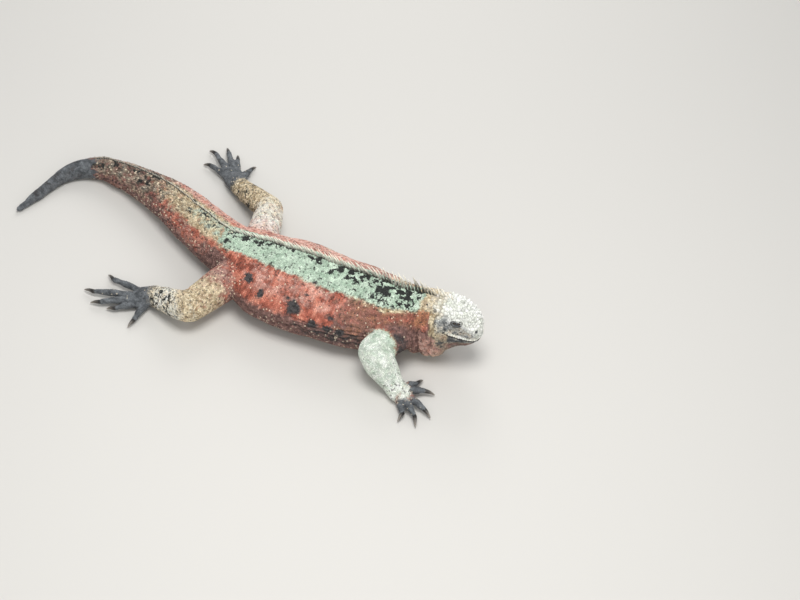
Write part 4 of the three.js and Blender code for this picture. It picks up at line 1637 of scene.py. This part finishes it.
@dataclass
class Head:
    """The tubercles, lips, lids and small scales of the head."""

    coat: Coat
    chart: Chart = stretch_chart(0.0, 4.2)
    tubercle_pitch: float = 4.7
    lip_pitch: float = 3.0

    def build(self) -> None:
        """Lays every scale of the head, the large ones first."""
        coat = self.coat
        lips, lids, crown = self.lip_scales(), self.lid_scales(), self.crown()
        coat.cast("crown_tubercles", [crown], "head_skin")
        coat.cast("lip_scales", [lips], "head_skin")
        coat.cast("lid_scales", [lids], "head_skin")
        pattern = Pattern(2.1, 0.62, 0.1, 0.7)
        small = coat.lay(SPINE, 0.012, place("jowl", 0.02), pattern, self.chart, self.off_features)
        coat.cast("head_scales", [small], "head_skin")

    @staticmethod
    def clear_of(seats: Seats, limits: tuple[tuple[Feature, float], ...]) -> Array:
        """Which seats are further off each feature, on both sides, than its limit in half sizes."""
        off = [feature_distance(seats.at, f, sign) > limit for f, limit in limits for sign in SIDES]
        return np.all(off, axis=0)

    def off_features(self, seats: Seats) -> Array:
        """Which seats are clear of the mouth line, the eyes, the ears and the nostrils."""
        behind = 9 * (seats.at[:, 0] < MOUTH_CORNER)
        off_mouth = np.abs(mouth_offset(seats.at)) + behind > 1.3
        return off_mouth & self.clear_of(seats, SCALES_OFF)

    def on_top(self, seats: Seats) -> Array:
        """Which seats bear a tubercle, as they are high on the head and clear of its features."""
        turn = np.abs(np.degrees(seats.turn))
        limit = np.interp(seats.t, (0.3, 1.0, 2.0, 3.0, 4.0), (75, 62, 58, 62, 66))
        return (turn < limit) & self.off_features(seats) & self.clear_of(seats, TUBERCLES_OFF)

    def crown(self) -> Casting:
        """Lays the pointed tubercles of the snout, brows and crown.

        Returns:
            The tubercles, which are tallest on the crown and lean back.
        """
        pattern = Pattern(self.tubercle_pitch, 2.45, 0.1, 0.7)
        casting = self.coat.lay(SPINE, 0.35, place("jowl", -0.05), pattern, self.chart, self.on_top)
        casting.mould = cone_mould(7, TUBERCLE)
        t = casting.seats.t
        casting.tall *= np.interp(t, (0.3, 1.0, 2.2, 3.2, 4.2), (0.55, 0.85, 1.0, 1.2, 0.9))
        side = np.abs(np.degrees(casting.seats.turn))
        casting.tall *= np.interp(side, (0, 35, 66), (1.0, 1.0, 0.55))
        casting.long *= 0.92
        casting.wide *= 0.92
        casting.masks[Mask.SPECK] = casting.masks[Mask.SPECK] * 0.1
        casting.bend = np.tile((0.12, 0.16), (len(t), 1))
        casting.sway = 0.08 * self.coat.draw.normal(size=len(t))
        return casting

    def lip_scales(self) -> Casting:
        """Lays a row of plates along each lip.

        Returns:
            The plates.
        """
        t, turn = np.meshgrid(np.linspace(0.02, 3, 320), np.linspace(-np.pi, np.pi, 720), indexing="ij")
        t, turn = t.ravel(), turn.ravel()
        grid = SPINE.point(t, turn, -COAT_DEPTH)
        chosen = []
        for height in LIP_ROWS:
            near = np.abs(mouth_offset(grid) - height) < LIP_NEAR
            near = np.flatnonzero(near & (grid[:, 0] > MOUTH_CORNER + 1))
            x, y = (grid[near, :2] - HEAD_MIDDLE).T
            order = near[np.argsort(np.arctan2(y, x))]
            last = order[0]
            for k in order:
                if np.linalg.norm(grid[k] - grid[last]) >= self.lip_pitch:
                    chosen.append(k)
                    last = k
        seats, masks = self.coat.settle(SPINE.seats(t[chosen], turn[chosen], -COAT_DEPTH), 5.0)
        count = len(seats)
        return Casting(
            seats, masks, cone_mould(8, LIP_PLATE), np.full(count, self.lip_pitch * 0.56),
            np.full(count, 1.5), 0.9 + 0.1 * self.coat.draw.normal(size=count), self.chart, SPINE,
        )

    def lid_scales(self) -> Casting:
        """Lays rings of fine granules round both eyes.

        Returns:
            The granules.
        """
        at, along, around, out = [], [], [], []
        for sign in SIDES:
            eye = feature_seat(EYE, sign)
            for ring, count in LID_RINGS:
                a = np.arange(count) / count * 2 * np.pi
                across = np.cos(a) * EYE.size[0] * ring
                forth = np.sin(a) * EYE.size[1] * (0.5 + ring / 2)
                at.append(eye.at + across[:, None] * eye.around + forth[:, None] * eye.along)
                along.append(unit(-np.sin(a)[:, None] * eye.around + np.cos(a)[:, None] * eye.along))
                around.append(np.repeat(eye.around, count, axis=0))
                out.append(np.repeat(eye.out, count, axis=0))
        stack = [np.concatenate(v) for v in (at, along, around, out)]
        total = len(stack[0])
        turn = np.full(total, np.radians(EYE.turn))
        seats, masks = self.coat.settle(Seats(*stack, np.full(total, EYE.at), turn), 8.0)
        size = 0.98 + 0.08 * self.coat.draw.normal(size=len(seats))
        return Casting(seats, masks, scale_mould(0.0, 0.72), size, size * 0.9, size * 0.7, self.chart, SPINE)


@dataclass
class Crest:
    """The row of spines from the crown to the stump of the tail."""

    coat: Coat
    pitch: float = 4.1

    def build(self) -> None:
        """Sets the spines along the ridge, and leans and curls each one back."""
        start, end = place("crown", -0.1), place("tail_stump", 0.15)
        steps = np.linspace(start, end, 3000)
        walked = travel(SPINE.point(steps, np.zeros(len(steps))))
        pace = np.interp(SPINE.value("crest", steps), (3, 8, 20), (0.82, 1.0, 1.1)) * self.pitch
        count = np.concatenate([[0], np.cumsum(np.diff(walked) / pace[1:])])
        t = np.interp(np.arange(int(count[-1])), count, steps)
        draw = self.coat.draw
        seats = SPINE.seats(t, 0.012 * draw.normal(size=len(t)), -COAT_DEPTH)
        seats, masks = self.coat.hide.snap(seats, 6.0)
        number = len(seats)
        tall = SPINE.value("crest", seats.t) * (0.9 + 0.11 * draw.normal(size=number).clip(-1.6, 1.4))
        tall *= np.interp(seats.t, (5.5, 7.2, 12, 14), (1.0, 1.22, 1.2, 1.0))
        tall += 0.5
        casting = Casting(
            seats, masks, cone_mould(8, SPINE_LEVELS), 0.85 + 0.05 * tall, 0.7 + 0.035 * tall, tall,
            stretch_chart(2.8, 19.4), SPINE,
        )
        lean = np.interp(seats.t, (3, 5.5, 8, 12, 19), (0.28, 0.22, 0.4, 0.5, 0.6))
        lean += 0.06 * draw.normal(size=number)
        curl = np.interp(seats.t, (3, 5.5, 8), (0.16, 0.2, 0.3)) + 0.05 * draw.normal(size=number)
        casting.bend = np.stack([lean, curl], axis=1) * (tall / casting.long)[:, None]
        casting.sway = 0.07 * draw.normal(size=number) * tall / casting.wide
        stain = np.interp(seats.t, (3.6, 4.2, 5.2, 5.8, 12, 14, 19), (0, 0.4, 0.4, 0.04, 0.08, 0.4, 0.6))
        casting.masks[Mask.INK] = casting.masks[Mask.INK] * 0.6 + stain
        self.coat.cast("crest_spines", [casting], "back_skin")
        LOG.info("crest_spines: rooted up to %.1f mm high", casting.seats.at[:, 2].max())


# Each piece of scales on the body: where it starts and ends, their pattern and the slot
BODY_STRETCHES: tuple[tuple[str, float, float, Pattern, str], ...] = (
    ("neck_scales", 4.02, 6.0, Pattern(2.1, 0.6, 0.2), "back_skin"),
    ("shoulder_scales", 6.0, 7.6, Pattern(2.2, 0.6, 0.25), "back_skin"),
    ("chest_scales", 7.6, 8.9, Pattern(2.2, 0.6, 0.25), "back_skin"),
    ("rib_scales", 8.9, 10.1, Pattern(2.2, 0.6, 0.25), "back_skin"),
    ("loin_scales", 10.1, 12.3, Pattern(2.3, 0.62, 0.3), "back_skin"),
    ("tail_root_scales", 12.3, 15.0, Pattern(2.5, 0.95, 0.4, 0.66, 1.15), "tail_skin"),
    ("tail_scales", 15.0, 19.3, Pattern(2.6, 1.0, 0.5, 0.62, 1.3), "tail_skin"),
    ("regrown_scales", 19.3, 22.99, Pattern(1.8, 0.55, 0.3, 0.7, 1.0), "tail_skin"),
)
LEG_PATTERNS: dict[Part, Pattern] = {
    Part.UPPER: Pattern(2.25, 0.62, 0.25),
    Part.LOWER: Pattern(2.2, 0.62, 0.25),
    Part.PALM: Pattern(2.1, 0.6, 0.2),
    Part.DIGIT: Pattern(2.0, 0.55, 0.25, 0.78, 1.0),
}


def dress_body(coat: Coat) -> None:
    """Lays the scales of neck, trunk and tail."""
    for name, start, end, pattern, slot in BODY_STRETCHES:
        coat.cast(name, [coat.lay(SPINE, start, end, pattern, stretch_chart(start - 0.05, end + 0.05))], slot)


def dress_leg(coat: Coat, name: str, lofts: list[Loft]) -> None:
    """Lays the scales of one leg, from the digits up.

    Args:
        coat: what the scales are added to.
        name: the leg.
        lofts: its lengths.
    """
    foot, shank = [], []
    for k, loft in reversed(list(enumerate(lofts))):
        strip = (k / len(lofts), (k + 1) / len(lofts), 0.0, 1.0)
        casting = coat.lay(loft, 0.06, loft.last - 0.06, LEG_PATTERNS[loft.part], strip)
        (foot if loft.part in (Part.DIGIT, Part.PALM) else shank).append(casting)
    coat.cast(f"{name}_foot_scales", foot, "foot_skin")
    coat.cast(f"{name}_scales", shank, "leg_skin")


# Finishes


Tree = bpy.types.NodeTree
Given = dict[str | int, object]


def linear(code: str) -> tuple[float, ...]:
    """An sRGB hex colour as linear light, opaque."""
    parts = [int(code[k:k + 2], 16) / 255 for k in (1, 3, 5)]
    return (*(p / 12.92 if p <= 0.04045 else ((p + 0.055) / 1.055) ** 2.4 for p in parts), 1.0)


def scale_of(size_mm: float) -> float:
    """The scale of a texture whose waves are that many millimetres long."""
    return 1000 / size_mm


def add_node(tree: Tree, kind: str, given: Given | None = None, out: str | int = 0) -> Socket | None:
    """Adds a node with its settings and links.

    Args:
        tree: the node tree.
        kind: the node's type, without the word that every type starts with.
        given: properties by name, and values or other nodes' outputs by input name or number.
        out: the output that is wanted, by name or number.

    Returns:
        That output, or None from a node that has none.
    """
    node = tree.nodes.new(f"ShaderNode{kind}")
    for key, value in (given or {}).items():
        if isinstance(value, Socket):
            tree.links.new(value, node.inputs[key])
        elif isinstance(key, str) and hasattr(node, key):
            setattr(node, key, value)
        else:
            node.inputs[key].default_value = value
    return node.outputs[out] if node.outputs else None


def set_stops(ramp: Socket, stops: tuple[tuple[float, str], ...]) -> None:
    """Gives a colour ramp its stops.

    Args:
        ramp: the ramp's output.
        stops: the position and the colour of each, in order.
    """
    elements = ramp.node.color_ramp.elements
    for position, _ in stops[1:-1]:
        elements.new(position)
    for element, (position, code) in zip(elements, stops):
        element.position, element.color = position, linear(code)


@dataclass(frozen=True)
class Finish:
    """A material whose nodes all feed one shader."""

    name: str

    def build(self) -> bpy.types.Material:
        """Makes the material.

        Returns:
            The material.
        """
        material = bpy.data.materials.new(self.name)
        material.use_nodes = True
        tree = material.node_tree
        tree.nodes.clear()
        shader = add_node(tree, "BsdfPrincipled", self.surface(tree))
        add_node(tree, "OutputMaterial", {"Surface": shader})
        return material

    def surface(self, tree: Tree) -> Given:
        """What the shader is given; each finish makes the nodes for it here."""
        raise NotImplementedError

    @staticmethod
    def grain(tree: Tree, size: float, detail: float, depth: float, strength: float) -> tuple[Socket, Socket]:
        """A fine relief, fixed to the object.

        Args:
            tree: the node tree.
            size: the length of its waves in millimetres.
            detail: how many times finer waves are added.
            depth: its height in millimetres.
            strength: how much of it shows.

        Returns:
            Its height, and the normal it gives.
        """
        place_in = add_node(tree, "TexCoord", None, "Object")
        height = add_node(tree, "TexNoise", {"Scale": scale_of(size), "Detail": detail, "Vector": place_in})
        bump = {"Strength": strength, "Distance": depth * MM, "Height": height}
        return height, add_node(tree, "Bump", bump)


@dataclass(frozen=True)
class Pigment:
    """A colour laid over those before it, where its mask says.

    dark and light are the two ends of its own variation, patch the size of that variation in
    millimetres, and ragged how far its edge wanders.
    """

    mask: Mask
    dark: str
    light: str
    patch: float
    ragged: float


PIGMENTS = (
    Pigment(Mask.DUSK, "#5f403b", "#9c776d", 5.0, 1.3),
    Pigment(Mask.TAWNY, "#7e4d39", "#c28763", 6.0, 1.3),
    Pigment(Mask.BLUSH, "#be8574", "#ecc6b7", 6.0, 1.2),
    Pigment(Mask.SAND, "#a58d68", "#e9dab9", 5.0, 1.3),
    Pigment(Mask.MINT, "#a2b9a2", "#d3e3cf", 9.0, 1.3),
    Pigment(Mask.CREAM, "#d9dccf", "#fdfcf7", 7.0, 0.8),
    Pigment(Mask.SLATE, "#424548", "#767a7d", 7.0, 1.2),
    Pigment(Mask.BLOTCH, "#1f1d1e", "#575251", 4.0, 1.5),
)
GROUND = ((0.64, "#80402f"), (0.8, "#bb6852"), (0.98, "#dc957c"))  # brick, orange red, dusty pink
INK = "#1f221e"
FLECK = "#e2d3b8"
SPECK = "#2a2622"


@dataclass(frozen=True)
class HideFinish(Finish):
    """The look of skin or scales: the same pigments, with more or less painted shade in the crevices."""

    roughness: float
    crevice_shade: float
    bump_mm: float
    grain_mm: float

    def surface(self, tree: Tree) -> Given:
        """Brick red under every other colour, each laid over the last, and over all mottling and painted
        shade in the crevices.

        Args:
            tree: the node tree.

        Returns:
            What the shader is given.
        """
        read = {}
        for name in LAYERS:
            out = "Vector" if name in ("seat", "way") else "Fac"
            read[name] = add_node(tree, "Attribute", {"attribute_name": name}, out)
        streak = add_node(
            tree, "TexNoise", {"Scale": scale_of(3.2), "Detail": 3.0, "Roughness": 0.6, "Vector": read["way"]}
        )
        seat = read["seat"]
        wave = add_node(
            tree, "TexNoise", {"Scale": scale_of(16), "Detail": 5.0, "Roughness": 0.62, "Vector": seat}
        )
        both = add_node(tree, "Math", {"operation": "MULTIPLY_ADD", 0: streak, 1: 0.6, 2: wave})
        colour = add_node(tree, "ValToRGB", {"Fac": both})
        set_stops(colour, GROUND)
        for weight, over in self.colours(tree, read):
            colour = add_node(tree, "Mix", {"data_type": "RGBA", 0: weight, 6: colour, 7: over}, 2)
        colour = self.crevice_shade_and_mottle(tree, read, streak, colour)
        _, normal = self.grain(tree, self.grain_mm, 3.0, self.bump_mm, 0.6)
        return {"Roughness": self.roughness, "Base Color": colour, "Normal": normal}

    @staticmethod
    def colours(tree: Tree, read: dict[str, Socket]) -> Iterator[tuple[Socket, object]]:
        """The colours over the brick red, from the lowest up.

        Args:
            tree: the node tree.
            read: what each point of the mesh keeps, by name.

        Yields:
            How much of a colour shows, and the colour.
        """
        seat = read["seat"]
        for pigment in PIGMENTS:
            # Two shades in patches
            patches = {"Scale": scale_of(pigment.patch), "Detail": 4.0, "Roughness": 0.6}
            wave = add_node(tree, "TexNoise", {"Vector": seat, **patches})
            shade = add_node(tree, "MapRange", {"From Min": 0.35, "From Max": 0.65, "Value": wave})
            shades = {6: linear(pigment.dark), 7: linear(pigment.light)}
            own = add_node(tree, "Mix", {"data_type": "RGBA", 0: shade, **shades}, 2)
            # A ragged edge
            edge = add_node(
                tree, "TexNoise", {"Scale": scale_of(9), "Detail": 4.0, "Roughness": 0.68, "Vector": seat}
            )
            ragged = {"operation": "MULTIPLY_ADD", 1: pigment.ragged, 2: -pigment.ragged / 2}
            push = add_node(tree, "Math", {0: edge, **ragged})
            total = add_node(tree, "Math", {"operation": "ADD", 0: read[pigment.mask.value], 1: push})
            border = {"interpolation_type": "SMOOTHSTEP", "From Min": 0.2, "From Max": 0.72}
            yield add_node(tree, "MapRange", {"Value": total, **border}), own
        # Black mottling that breaks up into branching lines and islands
        mottling = {"Scale": scale_of(12), "Detail": 4.0, "Roughness": 0.74, "Distortion": 0.6}
        wave = add_node(tree, "TexNoise", {"Vector": seat, **mottling})
        spread = add_node(tree, "MapRange", {"From Min": 0.3, "From Max": 0.7, "Value": wave})
        over = add_node(tree, "Math", {"operation": "SUBTRACT", 0: read[Mask.INK.value], 1: spread})
        border = {"interpolation_type": "SMOOTHSTEP", "From Min": -0.05, "From Max": 0.07}
        yield add_node(tree, "MapRange", {"Value": over, **border}), linear(INK)
        # Single pale scales where a scale's own chance is high, and black ones where it is low
        rest = add_node(tree, "Math", {"operation": "SUBTRACT", 0: 1.0, 1: read[Mask.FLECK.value]})
        singles = (("GREATER_THAN", rest, FLECK), ("LESS_THAN", read[Mask.SPECK.value], SPECK))
        for operation, share, code in singles:
            hit = add_node(tree, "Math", {"operation": operation, 0: read["chance"], 1: share})
            yield add_node(tree, "Math", {"operation": "MULTIPLY", 0: hit, 1: 0.62}), linear(code)

    def crevice_shade_and_mottle(self, tree: Tree, read: dict[str, Socket], streak: Socket, colour: Socket) -> Socket:
        """Darkens the foot of each scale and the bare skin as painted shade in the crevices, mottles the hide
        and varies one scale from the next.

        Args:
            tree: the node tree.
            read: what each point of the mesh keeps, by name.
            streak: the streaks across the length.
            colour: the colour so far.

        Returns:
            The colour, mottled and with that painted shade.
        """
        mottle = add_node(
            tree, "TexNoise", {"Scale": scale_of(5), "Detail": 4.0, "Roughness": 0.7, "Vector": read["seat"]}
        )
        tones = []
        for source, start, end, dark, light in (
            # The foot of each scale, and the bare skin, darker as painted shade in the crevices
            (read["apex"], 0.0, 0.6, self.crevice_shade, 1.0),
            (read["chance"], 0.0, 1.0, 0.86, 1.12),
            (streak, 0.3, 0.7, 0.88, 1.1),
            (mottle, 0.3, 0.7, 0.84, 1.14),
        ):
            span = {"From Min": start, "From Max": end, "To Min": dark, "To Max": light}
            tones.append(add_node(tree, "MapRange", {"Value": source, **span}))
        while len(tones) > 1:
            first, second, *others = tones
            tones = [*others, add_node(tree, "Math", {"operation": "MULTIPLY", 0: first, 1: second})]
        return add_node(tree, "VectorMath", {"operation": "SCALE", 0: colour, "Scale": tones[0]})


# Living skin between the scales: soft, matt, and darker all over with painted shade, as it lies down in the
# crevices.
SKIN_FINISH = HideFinish("reptile_skin", roughness=0.78, crevice_shade=0.7, bump_mm=0.35, grain_mm=0.9)
# Dry keratin scales: a faint sheen on each dome, and painted shade in the crevices at their feet.
SCALE_FINISH = HideFinish("keratin_scales", roughness=0.58, crevice_shade=0.58, bump_mm=0.12, grain_mm=0.5)


@dataclass(frozen=True)
class HornFinish(Finish):
    """Horn that is dark at the root and paler at the tip, with growth lines along it."""

    root: str
    tip: str
    roughness: float
    low: float = 0.15
    high: float = 0.95

    def surface(self, tree: Tree) -> Given:
        """Two colours with a wandering border between them, which stains push up.

        Args:
            tree: the node tree.

        Returns:
            What the shader is given.
        """
        apex, stain = (
            add_node(tree, "Attribute", {"attribute_name": name}, "Fac") for name in ("apex", Mask.INK.value)
        )
        grain, normal = self.grain(tree, 2.2, 4.0, 0.15, 0.4)
        push = add_node(tree, "Math", {"operation": "MULTIPLY_ADD", 0: grain, 1: 0.7, 2: -0.35})
        total = add_node(tree, "Math", {"operation": "ADD", 0: apex, 1: push})
        clean = add_node(tree, "Math", {"operation": "SUBTRACT", 0: total, 1: stain})
        weight = add_node(tree, "MapRange", {"From Min": self.low, "From Max": self.high, "Value": clean})
        ends = {6: linear(self.root), 7: linear(self.tip)}
        colour = add_node(tree, "Mix", {"data_type": "RGBA", 0: weight, **ends}, 2)
        return {"Roughness": self.roughness, "Base Color": colour, "Normal": normal}


# Claws: dense black horn, polished by wear, with a paler worn point.
CLAW_FINISH = HornFinish("claw_horn", root="#24211f", tip="#8d867c", roughness=0.34)
# Crest spines: soft pale horn, dark at the foot, which is partly painted shade between the spines.
SPINE_FINISH = HornFinish("crest_horn", root="#3c3c33", tip="#f8f1df", roughness=0.5, low=-0.3, high=0.44)


@dataclass(frozen=True)
class EyeFinish(Finish):
    """A wet eye: a black pupil, a brown iris with a lighter inner ring, and a dark rim.

    rings says where each colour is reached, as a part of the way from the pupil to the back.
    """

    rings: tuple[tuple[float, str], ...]

    def surface(self, tree: Tree) -> Given:
        """The rings under a clear wet coat.

        Args:
            tree: the node tree.

        Returns:
            What the shader is given.
        """
        from_pupil = add_node(tree, "Attribute", {"attribute_name": "gaze"}, "Fac")
        colour = add_node(tree, "ValToRGB", {"Fac": from_pupil})
        set_stops(colour, self.rings)
        return {"Roughness": 0.08, "Coat Weight": 1.0, "Coat Roughness": 0.03, "Base Color": colour}


# The wet front of an eyeball: it mirrors the light in one small spot.
EYE_FINISH = EyeFinish("wet_eye", (
    (0.11, "#050404"), (0.13, "#463526"), (0.2, "#2b1e17"), (0.46, "#2b1e17"), (0.6, "#1c1613"),
))


@dataclass(frozen=True)
class BoardFinish(Finish):
    """A painted board of one colour."""

    colour: str

    def surface(self, tree: Tree) -> Given:
        """One colour, with hardly any grain."""
        _, normal = self.grain(tree, 25, 2.0, 0.3, 0.05)
        return {"Base Color": linear(self.colour), "Roughness": 0.85, "Normal": normal}


# The floor's painted board: matt and pale, so that it throws soft light back.
BOARD_FINISH = BoardFinish("painted_board", "#cfccc6")


# Eyes and claws


@dataclass
class Eyes:
    """Two eyeballs, each a ball with a slight cornea."""

    radius: float = EYE_RADIUS
    bulge: float = 0.05  # of the radius, by which the cornea stands out
    cornea: float = 0.8  # the cosine of the angle from the pupil to its edge
    pieces: list[bpy.types.Object] = field(default_factory=list)

    def build(self) -> None:
        """Makes both eyes."""
        for name, sign in (("eye_right", -1), ("eye_left", 1)):
            seat = feature_seat(EYE, sign)
            gaze = Vector(seat.out[0])
            middle = Vector(seat.at[0] - seat.out[0] * EYE_SUNK)
            bm = bmesh.new()
            bmesh.ops.create_uvsphere(bm, u_segments=40, v_segments=28, radius=self.radius)
            for v in bm.verts:
                near = v.co.normalized().z
                v.co *= 1 + self.bulge * max(0.0, (near - self.cornea) / (1 - self.cornea))
            turn = Vector((0, 0, 1)).rotation_difference(gaze).to_matrix()
            bmesh.ops.rotate(bm, verts=bm.verts[:], cent=(0, 0, 0), matrix=turn)
            bmesh.ops.translate(bm, verts=bm.verts[:], vec=middle)
            bmesh.ops.scale(bm, verts=bm.verts[:], vec=(MM, MM, MM))
            mesh = take_mesh(f"{name}_ball", bm)
            angles = [(Vector(v.co) / MM - middle).angle(gaze) / np.pi for v in mesh.vertices]
            add_layers(mesh, {"gaze": np.array(angles)})
            mesh.shade_smooth()
            piece = add_object(f"{name}_ball", mesh)
            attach(piece, ROOT)
            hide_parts(name)
            self.pieces.append(piece)
        LOG.info("eyes: %d", len(self.pieces))


@dataclass
class Claws:
    """A curved claw at the end of every digit."""

    sides: int = 12
    rings: int = 14
    arch: float = 1.2  # how far its middle stands over the straight line
    pieces: list[bpy.types.Object] = field(default_factory=list)

    def build(self) -> None:
        """Makes the claws of all four feet."""
        for name, plan in LEGS.items():
            for k, (start, end, tip) in enumerate(plan.digits):
                self.claw(f"{name}_claw_{k + 1}", start, end, tip)
        LOG.info("claws: %d", len(self.pieces))

    def claw(self, node: str, start: Triple, end: Triple, tip: Triple) -> None:
        """Makes one claw.

        Args:
            node: the solid that it stands for.
            start: the root of the digit.
            end: the end of the digit.
            tip: the point of the claw.
        """
        x, y, z = mix(end, tip, 0.5)
        loft = limb(Part.CLAW, node, [
            Joint(past(start, end, -3), CLAW_THICK),
            Joint(end, CLAW_THICK),
            Joint((x, y, z + self.arch), CLAW_THICK * 0.66, CLAW_THICK * 0.8),
            Joint(past((x, y, z), tip, -0.2), 0.7),
        ])
        loft.round_end = 2.0
        bm = bmesh.new()
        loft.fill(bm, self.sides, self.rings, 0.0)
        bmesh.ops.recalc_face_normals(bm, faces=bm.faces[:])
        mesh = take_mesh(f"{node}_horn", bm)
        span = np.subtract(tip, end)
        apex = (values_of(mesh.vertices, "co", 3) / MM - end) @ span / (span @ span)
        add_layers(mesh, {"apex": np.clip(apex, 0, 1)})
        mesh.shade_smooth()
        piece = add_object(f"{node}_horn", mesh)
        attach(piece, ROOT)
        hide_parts(node)
        self.pieces.append(piece)


# Studio


# Soft round lamps that point at the origin: the place and the width in metres, and the watts
LAMPS: dict[str, tuple[Triple, float, float]] = {
    "key": ((0.25, -0.3, 1.65), 0.9, 19.5),
    "fill": ((0.9, -1.5, 1.0), 1.4, 9.0),
    "rim": ((-0.6, 1.4, 1.0), 1.0, 9.0),
}


@dataclass(frozen=True)
class Studio:
    """A pale floor, soft lights, and the camera that looks down on the right side."""

    turned: float = 23.0
    raised: float = 44.0
    roll: float = 5.0
    distance: float = 2600.0
    mm_for_pixel: float = 1.30
    width_px: float = 800.0
    aside_px: float = 100.0  # how far left of the picture's middle the origin shows
    sensor: float = 36.0
    floor_size: float = 9000.0
    floor_drop: float = 0.3  # below the animal, which just clears it
    air_colour: str = "#eef1f5"
    air_power: float = 0.55

    def build(self) -> None:
        """Makes the floor, the lights, the air and the camera."""
        self.floor()
        self.lights()
        self.air()
        self.camera()
        bpy.context.scene.view_settings.view_transform = "Standard"

    def floor(self) -> None:
        """Makes a plain pale floor."""
        bm = bmesh.new()
        bmesh.ops.create_grid(bm, x_segments=2, y_segments=2, size=self.floor_size / 2 * MM)
        bmesh.ops.translate(bm, verts=bm.verts[:], vec=(0, 0, -self.floor_drop * MM))
        floor = add_object("floor", take_mesh("floor", bm))
        floor.data.materials.append(BOARD_FINISH.build())

    def lights(self) -> None:
        """Hangs a wide soft lamp above, a weaker one in front and one behind."""
        for name, (at, width, power) in LAMPS.items():
            data = bpy.data.lights.new(name, "AREA")
            data.shape, data.size, data.energy = "DISK", width, power
            light = add_object(name, data)
            light.location = at
            light.rotation_euler = (-Vector(at)).to_track_quat("-Z", "Y").to_euler()

    def air(self) -> None:
        """Makes the pale air, which lights every side a little."""
        world = bpy.data.worlds.new("air")
        world.use_nodes = True
        background = world.node_tree.nodes["Background"]
        background.inputs["Color"].default_value = linear(self.air_colour)
        background.inputs["Strength"].default_value = self.air_power
        bpy.context.scene.world = world

    def camera(self) -> None:
        """Places the camera from its bearings and from where the origin shows."""
        a, e, r = np.radians([self.turned, self.raised, self.roll])
        right = np.array([np.cos(a), np.sin(a), 0])
        up = np.array([-np.sin(a) * np.sin(e), np.cos(a) * np.sin(e), np.cos(e)])
        back = np.cross(right, up)
        across = right * np.cos(r) + up * np.sin(r)
        high = up * np.cos(r) - right * np.sin(r)
        aim = across * self.aside_px * self.mm_for_pixel
        data = bpy.data.cameras.new("camera")
        data.sensor_width = self.sensor
        data.lens = self.sensor * self.distance / self.mm_for_pixel / self.width_px
        camera = add_object("camera", data)
        turn = Matrix((across, high, back)).transposed().to_4x4()
        camera.matrix_world = Matrix.Translation(Vector((aim + back * self.distance) * MM)) @ turn
        bpy.context.scene.camera = camera


def main() -> None:
    """Builds the animal and the studio."""
    logging.basicConfig(level=logging.INFO, format="%(message)s")
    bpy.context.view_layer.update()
    Studio().build()

    legs = {name: leg_lofts(name, plan) for name, plan in LEGS.items()}
    hide = Hide([SPINE, *(loft for lofts in legs.values() for loft in lofts)])
    hide.piece.data.materials.append(SKIN_FINISH.build())
    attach(hide.piece, ROOT)
    flesh = [f"{name}_{part}" for name in LEGS for part in ("upper", "lower", "foot")]
    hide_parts(*BODY_NODES, *flesh)
    LOG.info("skin: %d points", len(hide.points))

    coat = Coat(hide)
    Crest(coat).build()
    Head(coat).build()
    dress_body(coat)
    for name, lofts in legs.items():
        dress_leg(coat, name, lofts)
    scales, spines = SCALE_FINISH.build(), SPINE_FINISH.build()
    for piece in coat.pieces:
        piece.data.materials.append(spines if piece.name == "crest_spines" else scales)

    for maker, finish in ((Eyes(), EYE_FINISH), (Claws(), CLAW_FINISH)):
        maker.build()
        material = finish.build()
        for piece in maker.pieces:
            piece.data.materials.append(material)


if __name__ == "__main__":
    main()
